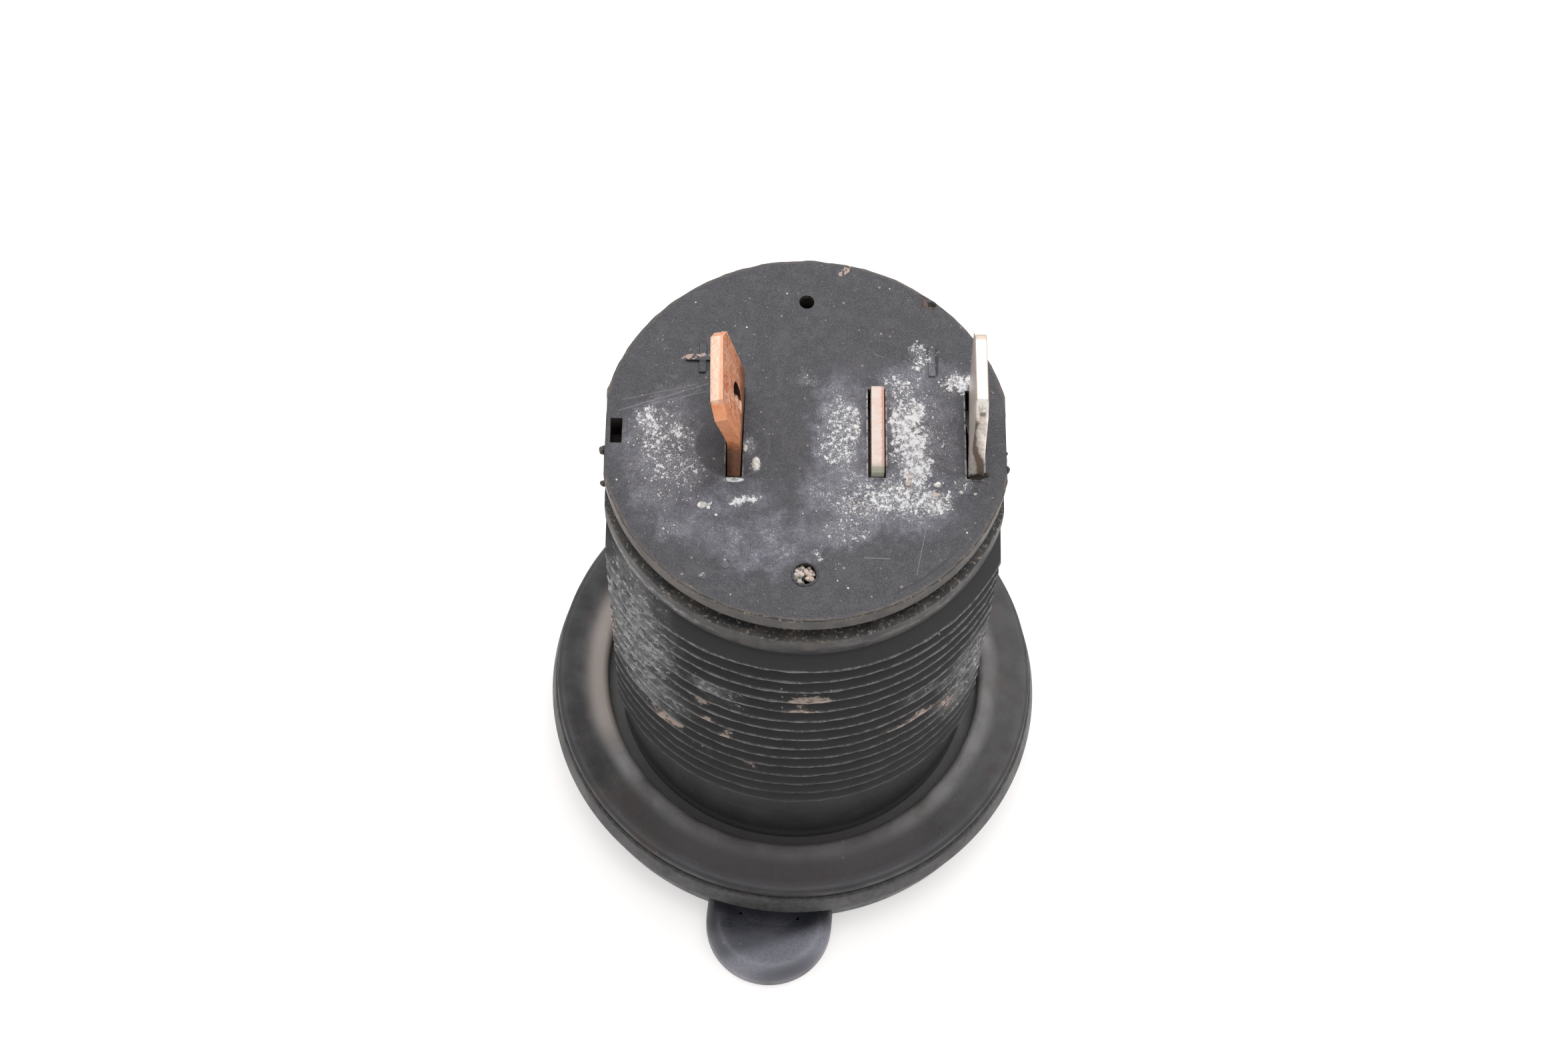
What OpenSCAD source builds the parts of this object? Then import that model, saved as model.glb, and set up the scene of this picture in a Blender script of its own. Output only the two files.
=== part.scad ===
// Panel-mount 12 V power socket with a tethered rubber cap.
// Origin: centre of the panel seat, the face of the seal ring that meets the panel.
// +Z runs through the panel to the terminals. The mouth and the cap are on the -Z side.

/* [Barrel] */
// Length of the barrel behind the panel seat
barrel_len = 36.4; // [35:0.2:44]
// Width across the two flats of the barrel
flats_across = 25.3; // [24.6:0.1:25.8]
// Diameter over the thread crests
thread_d = 28.4; // [28:0.1:29.6]
// Height of a thread ridge from its root to its crest
thread_depth = 1; // [0.6:0.05:1.1]
// Distance from one thread crest to the next
thread_pitch = 1.6; // [1.5:0.05:1.8]
// Number of thread ridges
thread_ridges = 15; // [8:1:16]
// Width of the narrow land on top of a crest
crest_land = 0.12; // [0.08:0.02:0.2]
// Distance from the rear face to the first crest
thread_start = 5.2; // [5.2:0.1:7]
// Thickness of the closed rear wall
rear_wall = 2.5; // [2:0.1:3.5]
// Diameter of the rim round the rear face
rim_d = 26.2; // [25.9:0.1:26.4]
// Thickness of that rim
rim_t = 1.4; // [1:0.1:1.8]
// Diameter at the bottom of the groove below the rim
groove_d = 25.3; // [24.9:0.1:25.6]
// Width of that groove
groove_w = 1; // [0.8:0.1:1.2]
// Diameter of the plain bead between the groove and the thread
bead_d = 26.8; // [26.6:0.1:27]
// Width of that bead
bead_w = 2; // [1.2:0.1:2.1]
// Small round on the moulded edges of the barrel and flange
edge_r = 0.25; // [0.15:0.05:0.4]
// Chamfer on the rear edge of the rim
rim_edge = 0.12; // [0.05:0.01:0.3]

/* [Flange] */
// Outer diameter of the flange at the front of the panel
flange_d = 37; // [36.6:0.2:42]
// Thickness of the flange
flange_t = 1.8; // [1.6:0.1:2.6]
// How much smaller in radius the flange is at its rear edge
flange_draft = 0.3; // [0:0.05:0.5]

/* [Rear face] */
// Distance of each small round hole from the axis
drain_reach = 9.9; // [9:0.1:9.9]
// Diameter of the hole on the tab side
drain_front_d = 1.7; // [1.2:0.1:1.8]
// Width of the low collar round that hole
collar_w = 0.2; // [0.1:0.05:0.4]
// Height of that collar
collar_rise = 0.1; // [0.05:0.05:0.2]
// Diameter of the hole on the strap side
drain_back_d = 1; // [0.8:0.1:1.6]
// Size of the pocket in the rim along the radius
pocket_t = 0.75; // [0.5:0.05:0.9]
// Size of the pocket along the flat
pocket_w = 1.8; // [1.4:0.1:3]
// Skin of plastic left outside the pocket
pocket_skin = 0.15; // [0.1:0.05:0.3]
// Depth of the pocket
pocket_depth = 2.2; // [1:0.1:2.4]
// Height and width of the plus mark, and length of the minus mark
mark_size = 2.2; // [1.6:0.1:2.6]
// Width of the strokes of the marks
mark_stroke = 0.45; // [0.3:0.05:0.6]
// Height of the marks over the face
mark_rise = 0.15; // [0.1:0.05:0.4]
// Place of the plus mark to the side of the axis
plus_x = -6.7; // [-8:0.1:-6.6]
// Place of the minus mark to the side of the axis
minus_x = 8.1; // [7:0.1:8.4]
// Distance of both marks from the centre line towards the strap
mark_y = 5.5; // [5.2:0.1:6.4]

/* [Socket shell] */
// Inner diameter of the metal shell
socket_d = 21.4; // [20.9:0.1:21.6]
// Thickness of the shell's sheet
shell_t = 0.75; // [0.5:0.05:0.8]
// Reach of the turned-out lip beyond the shell's outside
shell_lip = 1; // [0.6:0.1:1.4]
// Radial gap between the shell and the barrel's bore
shell_fit = 0.05; // [0.03:0.01:0.1]
// Width of each window in the shell's wall
window_w = 7; // [4:0.5:9]
// Height of each window
window_h = 2.6; // [1.5:0.1:4]
// Distance of the windows' centres from the mouth
window_reach = 14; // [10:0.5:20]

/* [Terminals] */
// Width of the terminal blades and of the contact strap
blade_w = 6.3; // [4.8:0.1:6.4]
// Thickness of the contact strap's sheet
blade_t = 0.8; // [0.5:0.05:0.9]
// Height of the blades above the rear face
blade_rise = 7.8; // [6.5:0.1:10]
// Length cut from each corner of a blade's tip along its end
tip_cut_w = 1; // [0.4:0.05:1.4]
// Height cut from each corner of a blade's tip
tip_cut_h = 1; // [0.4:0.05:1.4]
// Offset of the blades and their slots from the axis, towards the strap
blade_y = 0.2; // [0:0.05:0.4]
// Distance of each leg of the contact strap from the axis
leg_reach = 4.55; // [4:0.05:5.2]
// How far the contact strap's blade leans sideways at its tip
live_lean = 1.15; // [0:0.05:1.5]
// Height above the rear face at which that lean starts
live_bend = 2.4; // [1.5:0.1:2.6]
// How far the shell's blade is set in towards the axis, within the rear wall
earth_set = 0.25; // [0:0.01:0.3]
// How far the shell's blade leans towards the axis at its tip
earth_lean = 0.26; // [0:0.02:0.5]
// Height of the contact strap's short leg above the rear face
stub_rise = 0.8; // [0.4:0.05:1.2]
// Cut at both upper corners of the short leg
stub_cut = 0.3; // [0.1:0.05:0.35]
// Outer radius of the bends where the contact strap's legs turn up
strap_bend_r = 0.6; // [0.3:0.05:0.75]
// Diameter of the hole in the contact strap's blade
eye_d = 1.7; // [1:0.1:1.9]
// Height of that hole above the rear face
eye_rise = 3.8; // [3.6:0.1:4.6]
// Gap round a blade in its slot
slot_gap = 0.12; // [0.08:0.01:0.2]
// Wider gap beside the shell's blade, towards the axis
earth_gap = 0.5; // [0.2:0.05:0.6]

/* [Centre contact] */
// Outer diameter of the pressed contact cup
cup_d = 8.4; // [7:0.1:10]
// Thickness of the cup's sheet
cup_t = 0.6; // [0.4:0.05:0.8]
// Height of the cup's rim
cup_h = 1.6; // [1:0.1:2.4]
// Diameter of the rivet's shank
rivet_d = 3; // [2:0.1:3.4]
// Diameter of the rivet's domed head
rivet_head_d = 5.2; // [4.2:0.1:5.4]
// Height of that head
rivet_head_h = 1.3; // [0.8:0.1:1.8]
// Diameter of the rivet's upset tail
rivet_tail_d = 4.2; // [3.8:0.1:4.6]
// Height of that tail
rivet_tail_h = 0.7; // [0.4:0.05:0.9]
// Gap between the rivet's tail and its recess in the rear wall
tail_gap = 0.3; // [0.2:0.05:0.5]

/* [Seal ring and strap] */
// Outer diameter of the rubber seal ring
seal_d = 36; // [34:0.2:36.4]
// Thickness of the seal ring
seal_t = 1.2; // [1:0.1:2]
// Gap between the seal ring's hole and the barrel's neck
seal_gap = 0.9; // [0.5:0.1:1.4]
// Turn of the whole rubber moulding about the axis
cap_turn = -4.9; // [-12:0.1:12]
// Width of the strap that joins the seal ring to the cap
strap_w = 9; // [6:0.5:12]
// Thickness of that strap
strap_t = 1.2; // [0.8:0.1:1.6]
// Gap between the strap and the flange's edge
strap_gap = 0.5; // [0.4:0.1:1]
// Half the slit between the two halves of the strap at the hinge line
hinge_slit = 0.12; // [0.08:0.01:0.2]

/* [Cap] */
// Diameter of the cap
cap_d = 35.6; // [32:0.2:36.4]
// Thickness of the cap
cap_t = 3.6; // [3:0.1:4.5]
// Round on the cap's outer edge
cap_edge_r = 0.8; // [0.4:0.1:1.2]
// Diameter of the shallow field in the cap's face
field_d = 25; // [18:0.5:28]
// Depth of that field
field_depth = 0.4; // [0.2:0.1:0.6]
// Gap between the plug's sealing ribs and the shell
rib_gap = 0.3; // [0.3:0.05:0.5]
// Height of a sealing rib over the plug's wall
rib_h = 0.3; // [0.2:0.05:0.4]
// Wall of the hollow plug
plug_wall = 1.6; // [1.2:0.1:2.4]
// Height of the plug
plug_h = 5; // [4:0.1:5.2]
// Width of the pull tab
tab_w = 9.4; // [7:0.2:12]
// Distance of the pull tab's tip from the axis
tab_reach = 23; // [22:0.1:26]
// Thickness of the pull tab
tab_t = 1.6; // [1.2:0.1:2.4]
// Height of the finger ridge round the tab's tip
ridge_h = 0.4; // [0.2:0.05:0.6]
// Width of that finger ridge
ridge_w = 1.3; // [0.8:0.1:1.6]

/* [Hidden] */
$fn = 96;

// Small overlap that makes two solids of one piece run into each other
join = 0.05;
// Extra length of a cutter past the face that it opens
clear = 1;

rim_r = rim_d / 2;
groove_r = groove_d / 2;
bead_r = bead_d / 2;
crest_r = thread_d / 2;
root_r = crest_r - thread_depth;
flat_x = flats_across / 2;
// Half the foot of a ridge with flanks at 30 degrees
ridge_half = crest_land / 2 + thread_depth * tan(30);
rear_inside = barrel_len - rear_wall;

flange_r = flange_d / 2;
flange_rear = -seal_t;
flange_front = flange_rear - flange_t;

socket_r = socket_d / 2;
shell_r = socket_r + shell_t;
lip_r = shell_r + shell_lip;

blade_top = barrel_len + blade_rise;
strap_inside = rear_inside - blade_t;
cup_inside = strap_inside - cup_t;

seal_r = seal_d / 2;
strap_in = flange_r + strap_gap;
strap_out = strap_in + strap_t;

cap_r = cap_d / 2;
cap_front = flange_front - cap_t;
rib_r = socket_r - rib_gap;
plug_r = rib_r - rib_h;
tab_r = tab_w / 2;
// Where the tab ends inside the cap, between the sunk field and the edge
tab_root = (field_d / 2 + cap_r) / 2;

housing_colour = [0.2, 0.2, 0.22];
metal_colour = [0.78, 0.76, 0.72];
copper_colour = [0.8, 0.48, 0.34];
brass_colour = [0.78, 0.62, 0.32];
rubber_colour = [0.15, 0.15, 0.17];

// Section of a ring with four rounded corners, in radius and height
module rounded_section(r_in, r_out, z_low, z_high, r) {
    translate([r_in + r, z_low])
        square([r_out - r_in - 2 * r, z_high - z_low]);
    translate([r_in, z_low + r])
        square([r_out - r_in, z_high - z_low - 2 * r]);
    for (x = [r_in + r, r_out - r], z = [z_low + r, z_high - r])
        translate([x, z])
            circle(r);
}

// Profile drawn in X and Z, given a width along Y and centred on it
module across(width) {
    rotate([90, 0, 0])
        linear_extrude(width, center = true)
            children();
}

// Profile drawn in Y and Z, given a width along X and centred on it
module along(width) {
    rotate([90, 0, 90])
        linear_extrude(width, center = true)
            children();
}

// Strip of sheet that follows a path in X and Z, thickened along X
module bent_strip(path, thick, width) {
    last = len(path) - 1;
    back = [for (i = [0 : last]) path[last - i] + [thick / 2, 0]];
    front = [for (p = path) p - [thick / 2, 0]];
    across(width)
        polygon(concat(front, back));
}

// Outline that a blade's width and cut corners leave
module blade_outline(from_z, top_z, cut_w, cut_h) {
    half = blade_w / 2;
    along(4 * flange_r)
        polygon([
            [-half, from_z],
            [half, from_z],
            [half, top_z - cut_h],
            [half - cut_w, top_z],
            [cut_w - half, top_z],
            [-half, top_z - cut_h]
        ]);
}

// Crest heights from the flange to the rear face
function crest_z(i) = barrel_len - thread_start - (thread_ridges - 1 - i) * thread_pitch;

// The four corners of one ridge, from its lower foot to its upper foot
function ridge_points(z) = [
    [root_r, z - ridge_half],
    [crest_r, z - crest_land / 2],
    [crest_r, z + crest_land / 2],
    [root_r, z + ridge_half]
];

// Threaded barrel as a solid of revolution, before its flats are cut
module barrel_body() {
    rim_low = barrel_len - rim_t;
    bead_high = rim_low - groove_w;
    bead_low = bead_high - bead_w;
    ridges = [for (i = [0 : thread_ridges - 1]) each ridge_points(crest_z(i))];
    rotate_extrude()
        polygon(concat(
            [[0, flange_rear - join], [root_r, flange_rear - join]],
            ridges,
            [[root_r, bead_low], [bead_r - edge_r, bead_low], [bead_r, bead_low + edge_r]],
            [[bead_r, bead_high - edge_r], [bead_r - edge_r, bead_high], [groove_r, bead_high]],
            [[groove_r, rim_low], [rim_r, rim_low], [rim_r, barrel_len - rim_edge]],
            [[rim_r - rim_edge, barrel_len], [0, barrel_len]]
        ));
}

// Flange in front of the panel, with a little draft towards the rear
module flange_body() {
    rear_r = flange_r - flange_draft;
    rotate_extrude()
        polygon([
            [0, flange_front],
            [flange_r - edge_r, flange_front],
            [flange_r, flange_front + edge_r],
            [rear_r, flange_rear - edge_r],
            [rear_r - edge_r, flange_rear],
            [0, flange_rear]
        ]);
}

// Bore for the shell, with a step in the front face for its turned-out lip
module shell_seat() {
    translate([0, 0, flange_front - clear])
        cylinder(r = shell_r + shell_fit, h = rear_inside - flange_front + clear);
    translate([0, 0, flange_front - clear])
        cylinder(r = lip_r + shell_fit, h = shell_t + clear);
}

// One slot through the rear wall for a blade
module blade_slot(x_low, x_high) {
    translate([x_low, blade_y - blade_w / 2 - slot_gap, rear_inside - clear])
        cube([x_high - x_low, blade_w + 2 * slot_gap, rear_wall + 2 * clear]);
}

// All openings in the rear wall
module rear_openings() {
    half = blade_t / 2 + slot_gap;
    for (x = [-leg_reach, leg_reach])
        blade_slot(x - half, x + half);
    blade_slot(socket_r - earth_gap, shell_r + slot_gap);
    translate([0, -drain_reach, rear_inside - clear])
        cylinder(d = drain_front_d, h = rear_wall + 2 * clear);
    translate([0, drain_reach, rear_inside - clear])
        cylinder(d = drain_back_d, h = rear_wall + 2 * clear);
    translate([-flat_x + pocket_skin, -pocket_w / 2, barrel_len - pocket_depth])
        cube([pocket_t, pocket_w, pocket_depth + clear]);
    translate([0, 0, rear_inside - clear])
        cylinder(d = rivet_tail_d + 2 * tail_gap, h = rivet_tail_h + tail_gap + clear);
}

// Plain plus and minus marks that stand a little proud of the rear face
module polarity_marks() {
    translate([0, mark_y, barrel_len - join]) {
        for (size = [[mark_size, mark_stroke], [mark_stroke, mark_size]])
            translate([plus_x - size[0] / 2, -size[1] / 2, 0])
                cube([size[0], size[1], mark_rise + join]);
        translate([minus_x - mark_stroke / 2, -mark_size / 2, 0])
            cube([mark_stroke, mark_size, mark_rise + join]);
    }
}

// Low collar of moulded plastic round the larger drain hole
module drain_collar() {
    translate([0, -drain_reach, barrel_len - join])
        cylinder(d = drain_front_d + 2 * collar_w, h = collar_rise + join);
}

// One moulding: threaded barrel with two flats, flange and closed rear wall
module housing() {
    color(housing_colour)
    difference() {
        union() {
            intersection() {
                barrel_body();
                translate([-flat_x, -crest_r - clear, flange_front])
                    cube([flats_across, 2 * (crest_r + clear), barrel_len - flange_front + clear]);
            }
            flange_body();
            polarity_marks();
            drain_collar();
        }
        shell_seat();
        rear_openings();
    }
}

// Rolled metal shell with its lip, two windows and the blade cut from the same sheet
module socket_shell() {
    blade_x = socket_r + shell_t / 2;
    window_z = flange_front + window_reach;
    path = [
        [blade_x, rear_inside - clear],
        [blade_x, rear_inside],
        [blade_x - earth_set, barrel_len],
        [blade_x - earth_set - earth_lean, blade_top]
    ];
    color(metal_colour)
    union() {
        difference() {
            rotate_extrude()
                union() {
                    translate([socket_r, flange_front])
                        square([shell_t, rear_inside - flange_front]);
                    translate([socket_r + join, flange_front])
                        square([lip_r - socket_r - join, shell_t]);
                }
            for (side = [0, 180])
                rotate([0, 0, side])
                    translate([-window_w / 2, 0, window_z - window_h / 2])
                        cube([window_w, shell_r + clear, window_h]);
        }
        translate([0, blade_y, 0])
            intersection() {
                bent_strip(path, shell_t, blade_w);
                blade_outline(rear_inside - clear, blade_top, tip_cut_w, tip_cut_h);
            }
    }
}

// Section of the strap's base, rounded outside where its legs turn up
module strap_base_section() {
    half = leg_reach + blade_t / 2;
    bend_r = min(strap_bend_r, blade_t - join);
    translate([-half, strap_inside + bend_r])
        square([2 * half, blade_t - bend_r]);
    translate([bend_r - half, strap_inside])
        square([2 * (half - bend_r), blade_t]);
    intersection() {
        for (x = [bend_r - half, half - bend_r])
            translate([x, strap_inside + bend_r])
                circle(bend_r);
        translate([-half, strap_inside])
            square([2 * half, bend_r]);
    }
}

// Copper strap bent to a U: its base lies on the rear wall, one leg is the blade
module contact_strap() {
    leg_low = rear_inside - join;
    stub_top = barrel_len + stub_rise;
    live_path = [
        [-leg_reach, leg_low],
        [-leg_reach, barrel_len + live_bend],
        [-leg_reach - live_lean, blade_top]
    ];
    stub_path = [[leg_reach, leg_low], [leg_reach, stub_top]];
    color(copper_colour)
    difference() {
        translate([0, blade_y, 0]) {
            intersection() {
                bent_strip(live_path, blade_t, blade_w);
                blade_outline(leg_low, blade_top, tip_cut_w, tip_cut_h);
            }
            intersection() {
                bent_strip(stub_path, blade_t, blade_w);
                blade_outline(leg_low, stub_top, stub_cut, stub_cut);
            }
            across(blade_w)
                strap_base_section();
        }
        translate([0, 0, strap_inside - clear])
            cylinder(d = rivet_d, h = blade_t + 2 * clear);
        translate([-leg_reach, blade_y, barrel_len + eye_rise])
            rotate([0, 90, 0])
                cylinder(d = eye_d, h = 2 * (live_lean + blade_t), center = true);
    }
}

// Pressed cup that the plug's tip touches
module contact_cup() {
    color(metal_colour)
    difference() {
        rotate_extrude()
            rounded_section(0, cup_d / 2, strap_inside - cup_h, strap_inside, cup_t / 2);
        translate([0, 0, strap_inside - cup_h - clear])
            cylinder(r = cup_d / 2 - cup_t, h = cup_h - cup_t + clear);
        translate([0, 0, strap_inside - cup_t - clear])
            cylinder(d = rivet_d, h = cup_t + 2 * clear);
    }
}

// Rivet that holds the cup to the strap, with a domed head towards the mouth
module contact_rivet() {
    head_r = rivet_head_d / 2;
    dome_r = (head_r * head_r + rivet_head_h * rivet_head_h) / (2 * rivet_head_h);
    color(brass_colour)
    union() {
        intersection() {
            translate([0, 0, cup_inside - rivet_head_h + dome_r])
                sphere(dome_r);
            translate([0, 0, cup_inside - rivet_head_h])
                cylinder(r = head_r, h = rivet_head_h);
        }
        translate([0, 0, cup_inside - join])
            cylinder(d = rivet_d, h = rear_inside - cup_inside + 2 * join);
        translate([0, 0, rear_inside])
            cylinder(d = rivet_tail_d, h = rivet_tail_h);
    }
}

// Upper half of the strap: out from the seal ring and down past the flange
module strap_upper() {
    along(strap_w)
        union() {
            translate([seal_r - strap_t, -seal_t])
                square([strap_in - seal_r + strap_t, seal_t]);
            translate([strap_in, flange_front + hinge_slit])
                square([strap_t, -flange_front - hinge_slit - seal_t]);
            intersection() {
                translate([strap_in, -seal_t])
                    circle(strap_t);
                translate([strap_in, -seal_t])
                    square([strap_t, seal_t]);
            }
        }
}

// Rubber ring between the flange and the panel, moulded in one with the cap
module seal_ring() {
    color(rubber_colour)
    rotate([0, 0, cap_turn])
    union() {
        rotate_extrude()
            rounded_section(root_r + seal_gap, seal_r, -seal_t, 0, edge_r);
        strap_upper();
    }
}

// Lower half of the strap: from the hinge line down and in to the cap's edge
module strap_lower() {
    low = cap_front + cap_edge_r;
    along(strap_w)
        union() {
            translate([cap_r - strap_t, low])
                square([strap_in - cap_r + strap_t, strap_t]);
            translate([strap_in, low + strap_t])
                square([strap_t, flange_front - hinge_slit - low - strap_t]);
            intersection() {
                translate([strap_in, low + strap_t])
                    circle(strap_t);
                translate([strap_in, low])
                    square([strap_t, strap_t]);
            }
        }
}

// Section of the cap's disc and of its hollow plug with two sealing ribs
module cap_section() {
    plug_end = flange_front + plug_h;
    difference() {
        union() {
            translate([-cap_r, 0])
                rounded_section(0, 2 * cap_r, cap_front, flange_front, cap_edge_r);
            translate([0, flange_front - cap_t / 2])
                square([plug_r, plug_h + cap_t / 2 - edge_r]);
            translate([0, flange_front])
                square([plug_r - edge_r, plug_h]);
            for (z = [flange_front + plug_h / 4, plug_end - plug_h / 3])
                translate([plug_r, z])
                    circle(rib_h);
        }
        translate([0, flange_front - join])
            square([plug_r - plug_wall, plug_h + clear]);
        translate([-clear, cap_front - clear])
            square([field_d / 2 + clear, field_depth + clear]);
        translate([-cap_r - clear, cap_front - clear])
            square([cap_r + clear, cap_t + plug_h + 2 * clear]);
    }
}

// Pull tab with a rounded end and a low finger ridge on its rear side
module pull_tab() {
    centre_y = -tab_reach + tab_r;
    translate([0, 0, cap_front]) {
        linear_extrude(tab_t) {
            translate([0, centre_y])
                circle(tab_r);
            translate([-tab_r, centre_y])
                square([tab_w, -centre_y - tab_root]);
        }
        translate([0, 0, tab_t - join])
            linear_extrude(ridge_h + join)
                difference() {
                    translate([0, centre_y])
                        circle(tab_r);
                    translate([0, centre_y + ridge_w])
                        circle(tab_r);
                    translate([-tab_w, centre_y])
                        square([2 * tab_w, tab_w]);
                }
    }
}

// Rubber cap: disc, plug, pull tab and its half of the strap
module cap() {
    color(rubber_colour)
    rotate([0, 0, cap_turn])
    union() {
        rotate_extrude()
            cap_section();
        pull_tab();
        strap_lower();
    }
}

housing();
socket_shell();
contact_strap();
contact_cup();
contact_rivet();
seal_ring();
cap();
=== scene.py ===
# %% [markdown]
# # A 12 V panel socket, dressed over its solids
# The object is a round power socket from a dashboard. It stands on its rubber cap, with its
# closed rear face and its terminals up. The solids already give every piece its true size and
# place. This lesson rebuilds the pieces that show as finer meshes in the same places, and gives
# each a finish: dusty black plastic with chalky residue, worn copper, stained tin and old rubber.

import math
import random

import bmesh
import bpy
from mathutils import Matrix, Vector, noise


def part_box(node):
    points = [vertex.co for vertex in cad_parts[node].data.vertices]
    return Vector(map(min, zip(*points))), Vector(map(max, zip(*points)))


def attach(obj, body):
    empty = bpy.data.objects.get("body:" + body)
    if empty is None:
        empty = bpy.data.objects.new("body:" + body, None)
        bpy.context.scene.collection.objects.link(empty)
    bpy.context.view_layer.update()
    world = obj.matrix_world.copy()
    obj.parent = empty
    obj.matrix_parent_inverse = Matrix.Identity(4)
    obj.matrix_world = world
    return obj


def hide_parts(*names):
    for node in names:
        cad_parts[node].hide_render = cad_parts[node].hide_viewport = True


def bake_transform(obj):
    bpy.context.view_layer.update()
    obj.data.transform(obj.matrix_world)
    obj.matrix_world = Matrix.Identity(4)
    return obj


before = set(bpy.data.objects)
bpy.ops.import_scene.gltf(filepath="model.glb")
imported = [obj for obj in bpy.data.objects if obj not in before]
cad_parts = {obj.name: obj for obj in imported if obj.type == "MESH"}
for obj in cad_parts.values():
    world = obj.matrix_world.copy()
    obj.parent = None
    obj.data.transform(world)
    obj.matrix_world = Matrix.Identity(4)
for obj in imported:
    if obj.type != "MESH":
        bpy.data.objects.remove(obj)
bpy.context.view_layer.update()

# %% [markdown]
# Meshes are built in millimetres, because the real part is measured in them, and each one is
# scaled to metres as its last step. The main sizes are read from the solids, so the looks follow
# the construction.

# %% Main sizes in millimetres
MM = 0.001
housing_low, housing_high = (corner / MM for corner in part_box("housing"))
REAR_Z = housing_high.z
FLANGE_R = housing_high.x
FLANGE_FRONT = housing_low.z
BLADE_TOP = (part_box("contact_strap")[1] / MM).z
FLOOR_Z = (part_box("cap")[0] / MM).z
print(f"rear face {REAR_Z:.2f}, flange radius {FLANGE_R:.2f}, floor {FLOOR_Z:.2f} mm")

# %% [markdown]
# The camera comes first. Its place was found by fitting a pinhole camera to the round rear face,
# the flange and the thread in the photograph. It looks down steeply from the pull tab's side and
# is rolled a little.

# %% Camera at the photograph's view
SENSOR_W = 36.0
FOCAL_PIXELS = 3877.0
PHOTO_W = 2352
CAMERA_AT = Vector((-3.134, -80.227, 180.30)) * MM
CAMERA_TURN = math.radians(-1.4)
CAMERA_TILT = math.radians(62.79)
CAMERA_ROLL = math.radians(2.28)


def camera_axes(turn, tilt, roll):
    """Rotation whose columns are the camera's right, up and back."""
    level = math.cos(tilt)
    back = Vector((math.sin(turn) * level, -math.cos(turn) * level, math.sin(tilt)))
    right = Vector((math.cos(turn), math.sin(turn), 0))
    up = back.cross(right)
    rolled_right = right * math.cos(roll) + up * math.sin(roll)
    rolled_up = up * math.cos(roll) - right * math.sin(roll)
    return Matrix((rolled_right, rolled_up, back)).transposed()


camera_data = bpy.data.cameras.new("photo_camera")
camera_data.sensor_fit = "HORIZONTAL"
camera_data.sensor_width = SENSOR_W
camera_data.lens = FOCAL_PIXELS * SENSOR_W / PHOTO_W
camera_data.clip_start = 0.01
camera = bpy.data.objects.new("photo_camera", camera_data)
axes = camera_axes(CAMERA_TURN, CAMERA_TILT, CAMERA_ROLL)
camera.matrix_world = Matrix.Translation(CAMERA_AT) @ axes.to_4x4()
bpy.context.collection.objects.link(camera)
bpy.context.scene.camera = camera
print(f"lens {camera_data.lens:.2f} mm")

# %% [markdown]
# A few small helpers do what every piece needs. `turned` spins a section of radius and height a
# full turn about the axis, as a lathe would. `plate` gives an outline a depth, and `ribbon` draws a
# line of points out to a sheet. `evaluated` applies an object's modifiers. `finish` scales a mesh to
# metres, gives it a smooth surface with crisp edges, and makes it ride on a body.

# %% Helpers for meshes
STEPS = 192
# without a seed the vector noise would start anew in each run
NOISE_SEED = 12
noise.seed_set(NOISE_SEED)


def arc(centre_r, centre_z, radius, start, stop, count=4):
    """Points of an arc in radius and height, angles in degrees."""
    points = []
    for i in range(count + 1):
        angle = math.radians(start + (stop - start) * i / count)
        points.append((centre_r + radius * math.cos(angle), centre_z + radius * math.sin(angle)))
    return points


def turned(bm, section, steps=STEPS):
    """Spin a closed section about Z and return the new vertices."""
    before = set(bm.verts)
    verts = [bm.verts.new((r, 0, z)) for r, z in section]
    edges = [bm.edges.new(pair) for pair in zip(verts, verts[1:])]
    edges.append(bm.edges.new((verts[-1], verts[0])))
    bmesh.ops.spin(
        bm,
        geom=verts + edges,
        cent=(0, 0, 0),
        axis=(0, 0, 1),
        dvec=(0, 0, 0),
        angle=math.tau,
        steps=steps,
        use_merge=True,
    )
    made = [v for v in bm.verts if v not in before]
    bmesh.ops.remove_doubles(bm, verts=made, dist=1e-5)
    return [v for v in bm.verts if v not in before]


def plate(bm, outline, depth, along):
    """Fill an outline and extrude it by depth along a direction."""
    face = bm.faces.new([bm.verts.new(point) for point in outline])
    grown = bmesh.ops.extrude_face_region(bm, geom=[face])
    moved = [g for g in grown["geom"] if isinstance(g, bmesh.types.BMVert)]
    bmesh.ops.translate(bm, vec=Vector(along) * depth, verts=moved)
    return moved


def ribbon(bm, points, step, columns):
    """Extrude a line of points by a step, as many times as there are columns."""
    verts = [bm.verts.new(point) for point in points]
    edges = [bm.edges.new(pair) for pair in zip(verts, verts[1:])]
    for _ in range(columns):
        grown = bmesh.ops.extrude_edge_only(bm, edges=edges)["geom"]
        moved = [g for g in grown if isinstance(g, bmesh.types.BMVert)]
        bmesh.ops.translate(bm, vec=step, verts=moved)
        rungs = [g for g in grown if isinstance(g, bmesh.types.BMEdge)]
        edges = [rung for rung in rungs if all(v in moved for v in rung.verts)]


def to_object(bm, name):
    """Turn a bmesh into a linked object, still in millimetres, with its faces outwards."""
    bmesh.ops.recalc_face_normals(bm, faces=bm.faces)
    mesh = bpy.data.meshes.new(name)
    bm.to_mesh(mesh)
    bm.free()
    made = bpy.data.objects.new(name, mesh)
    bpy.context.collection.objects.link(made)
    return made


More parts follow.
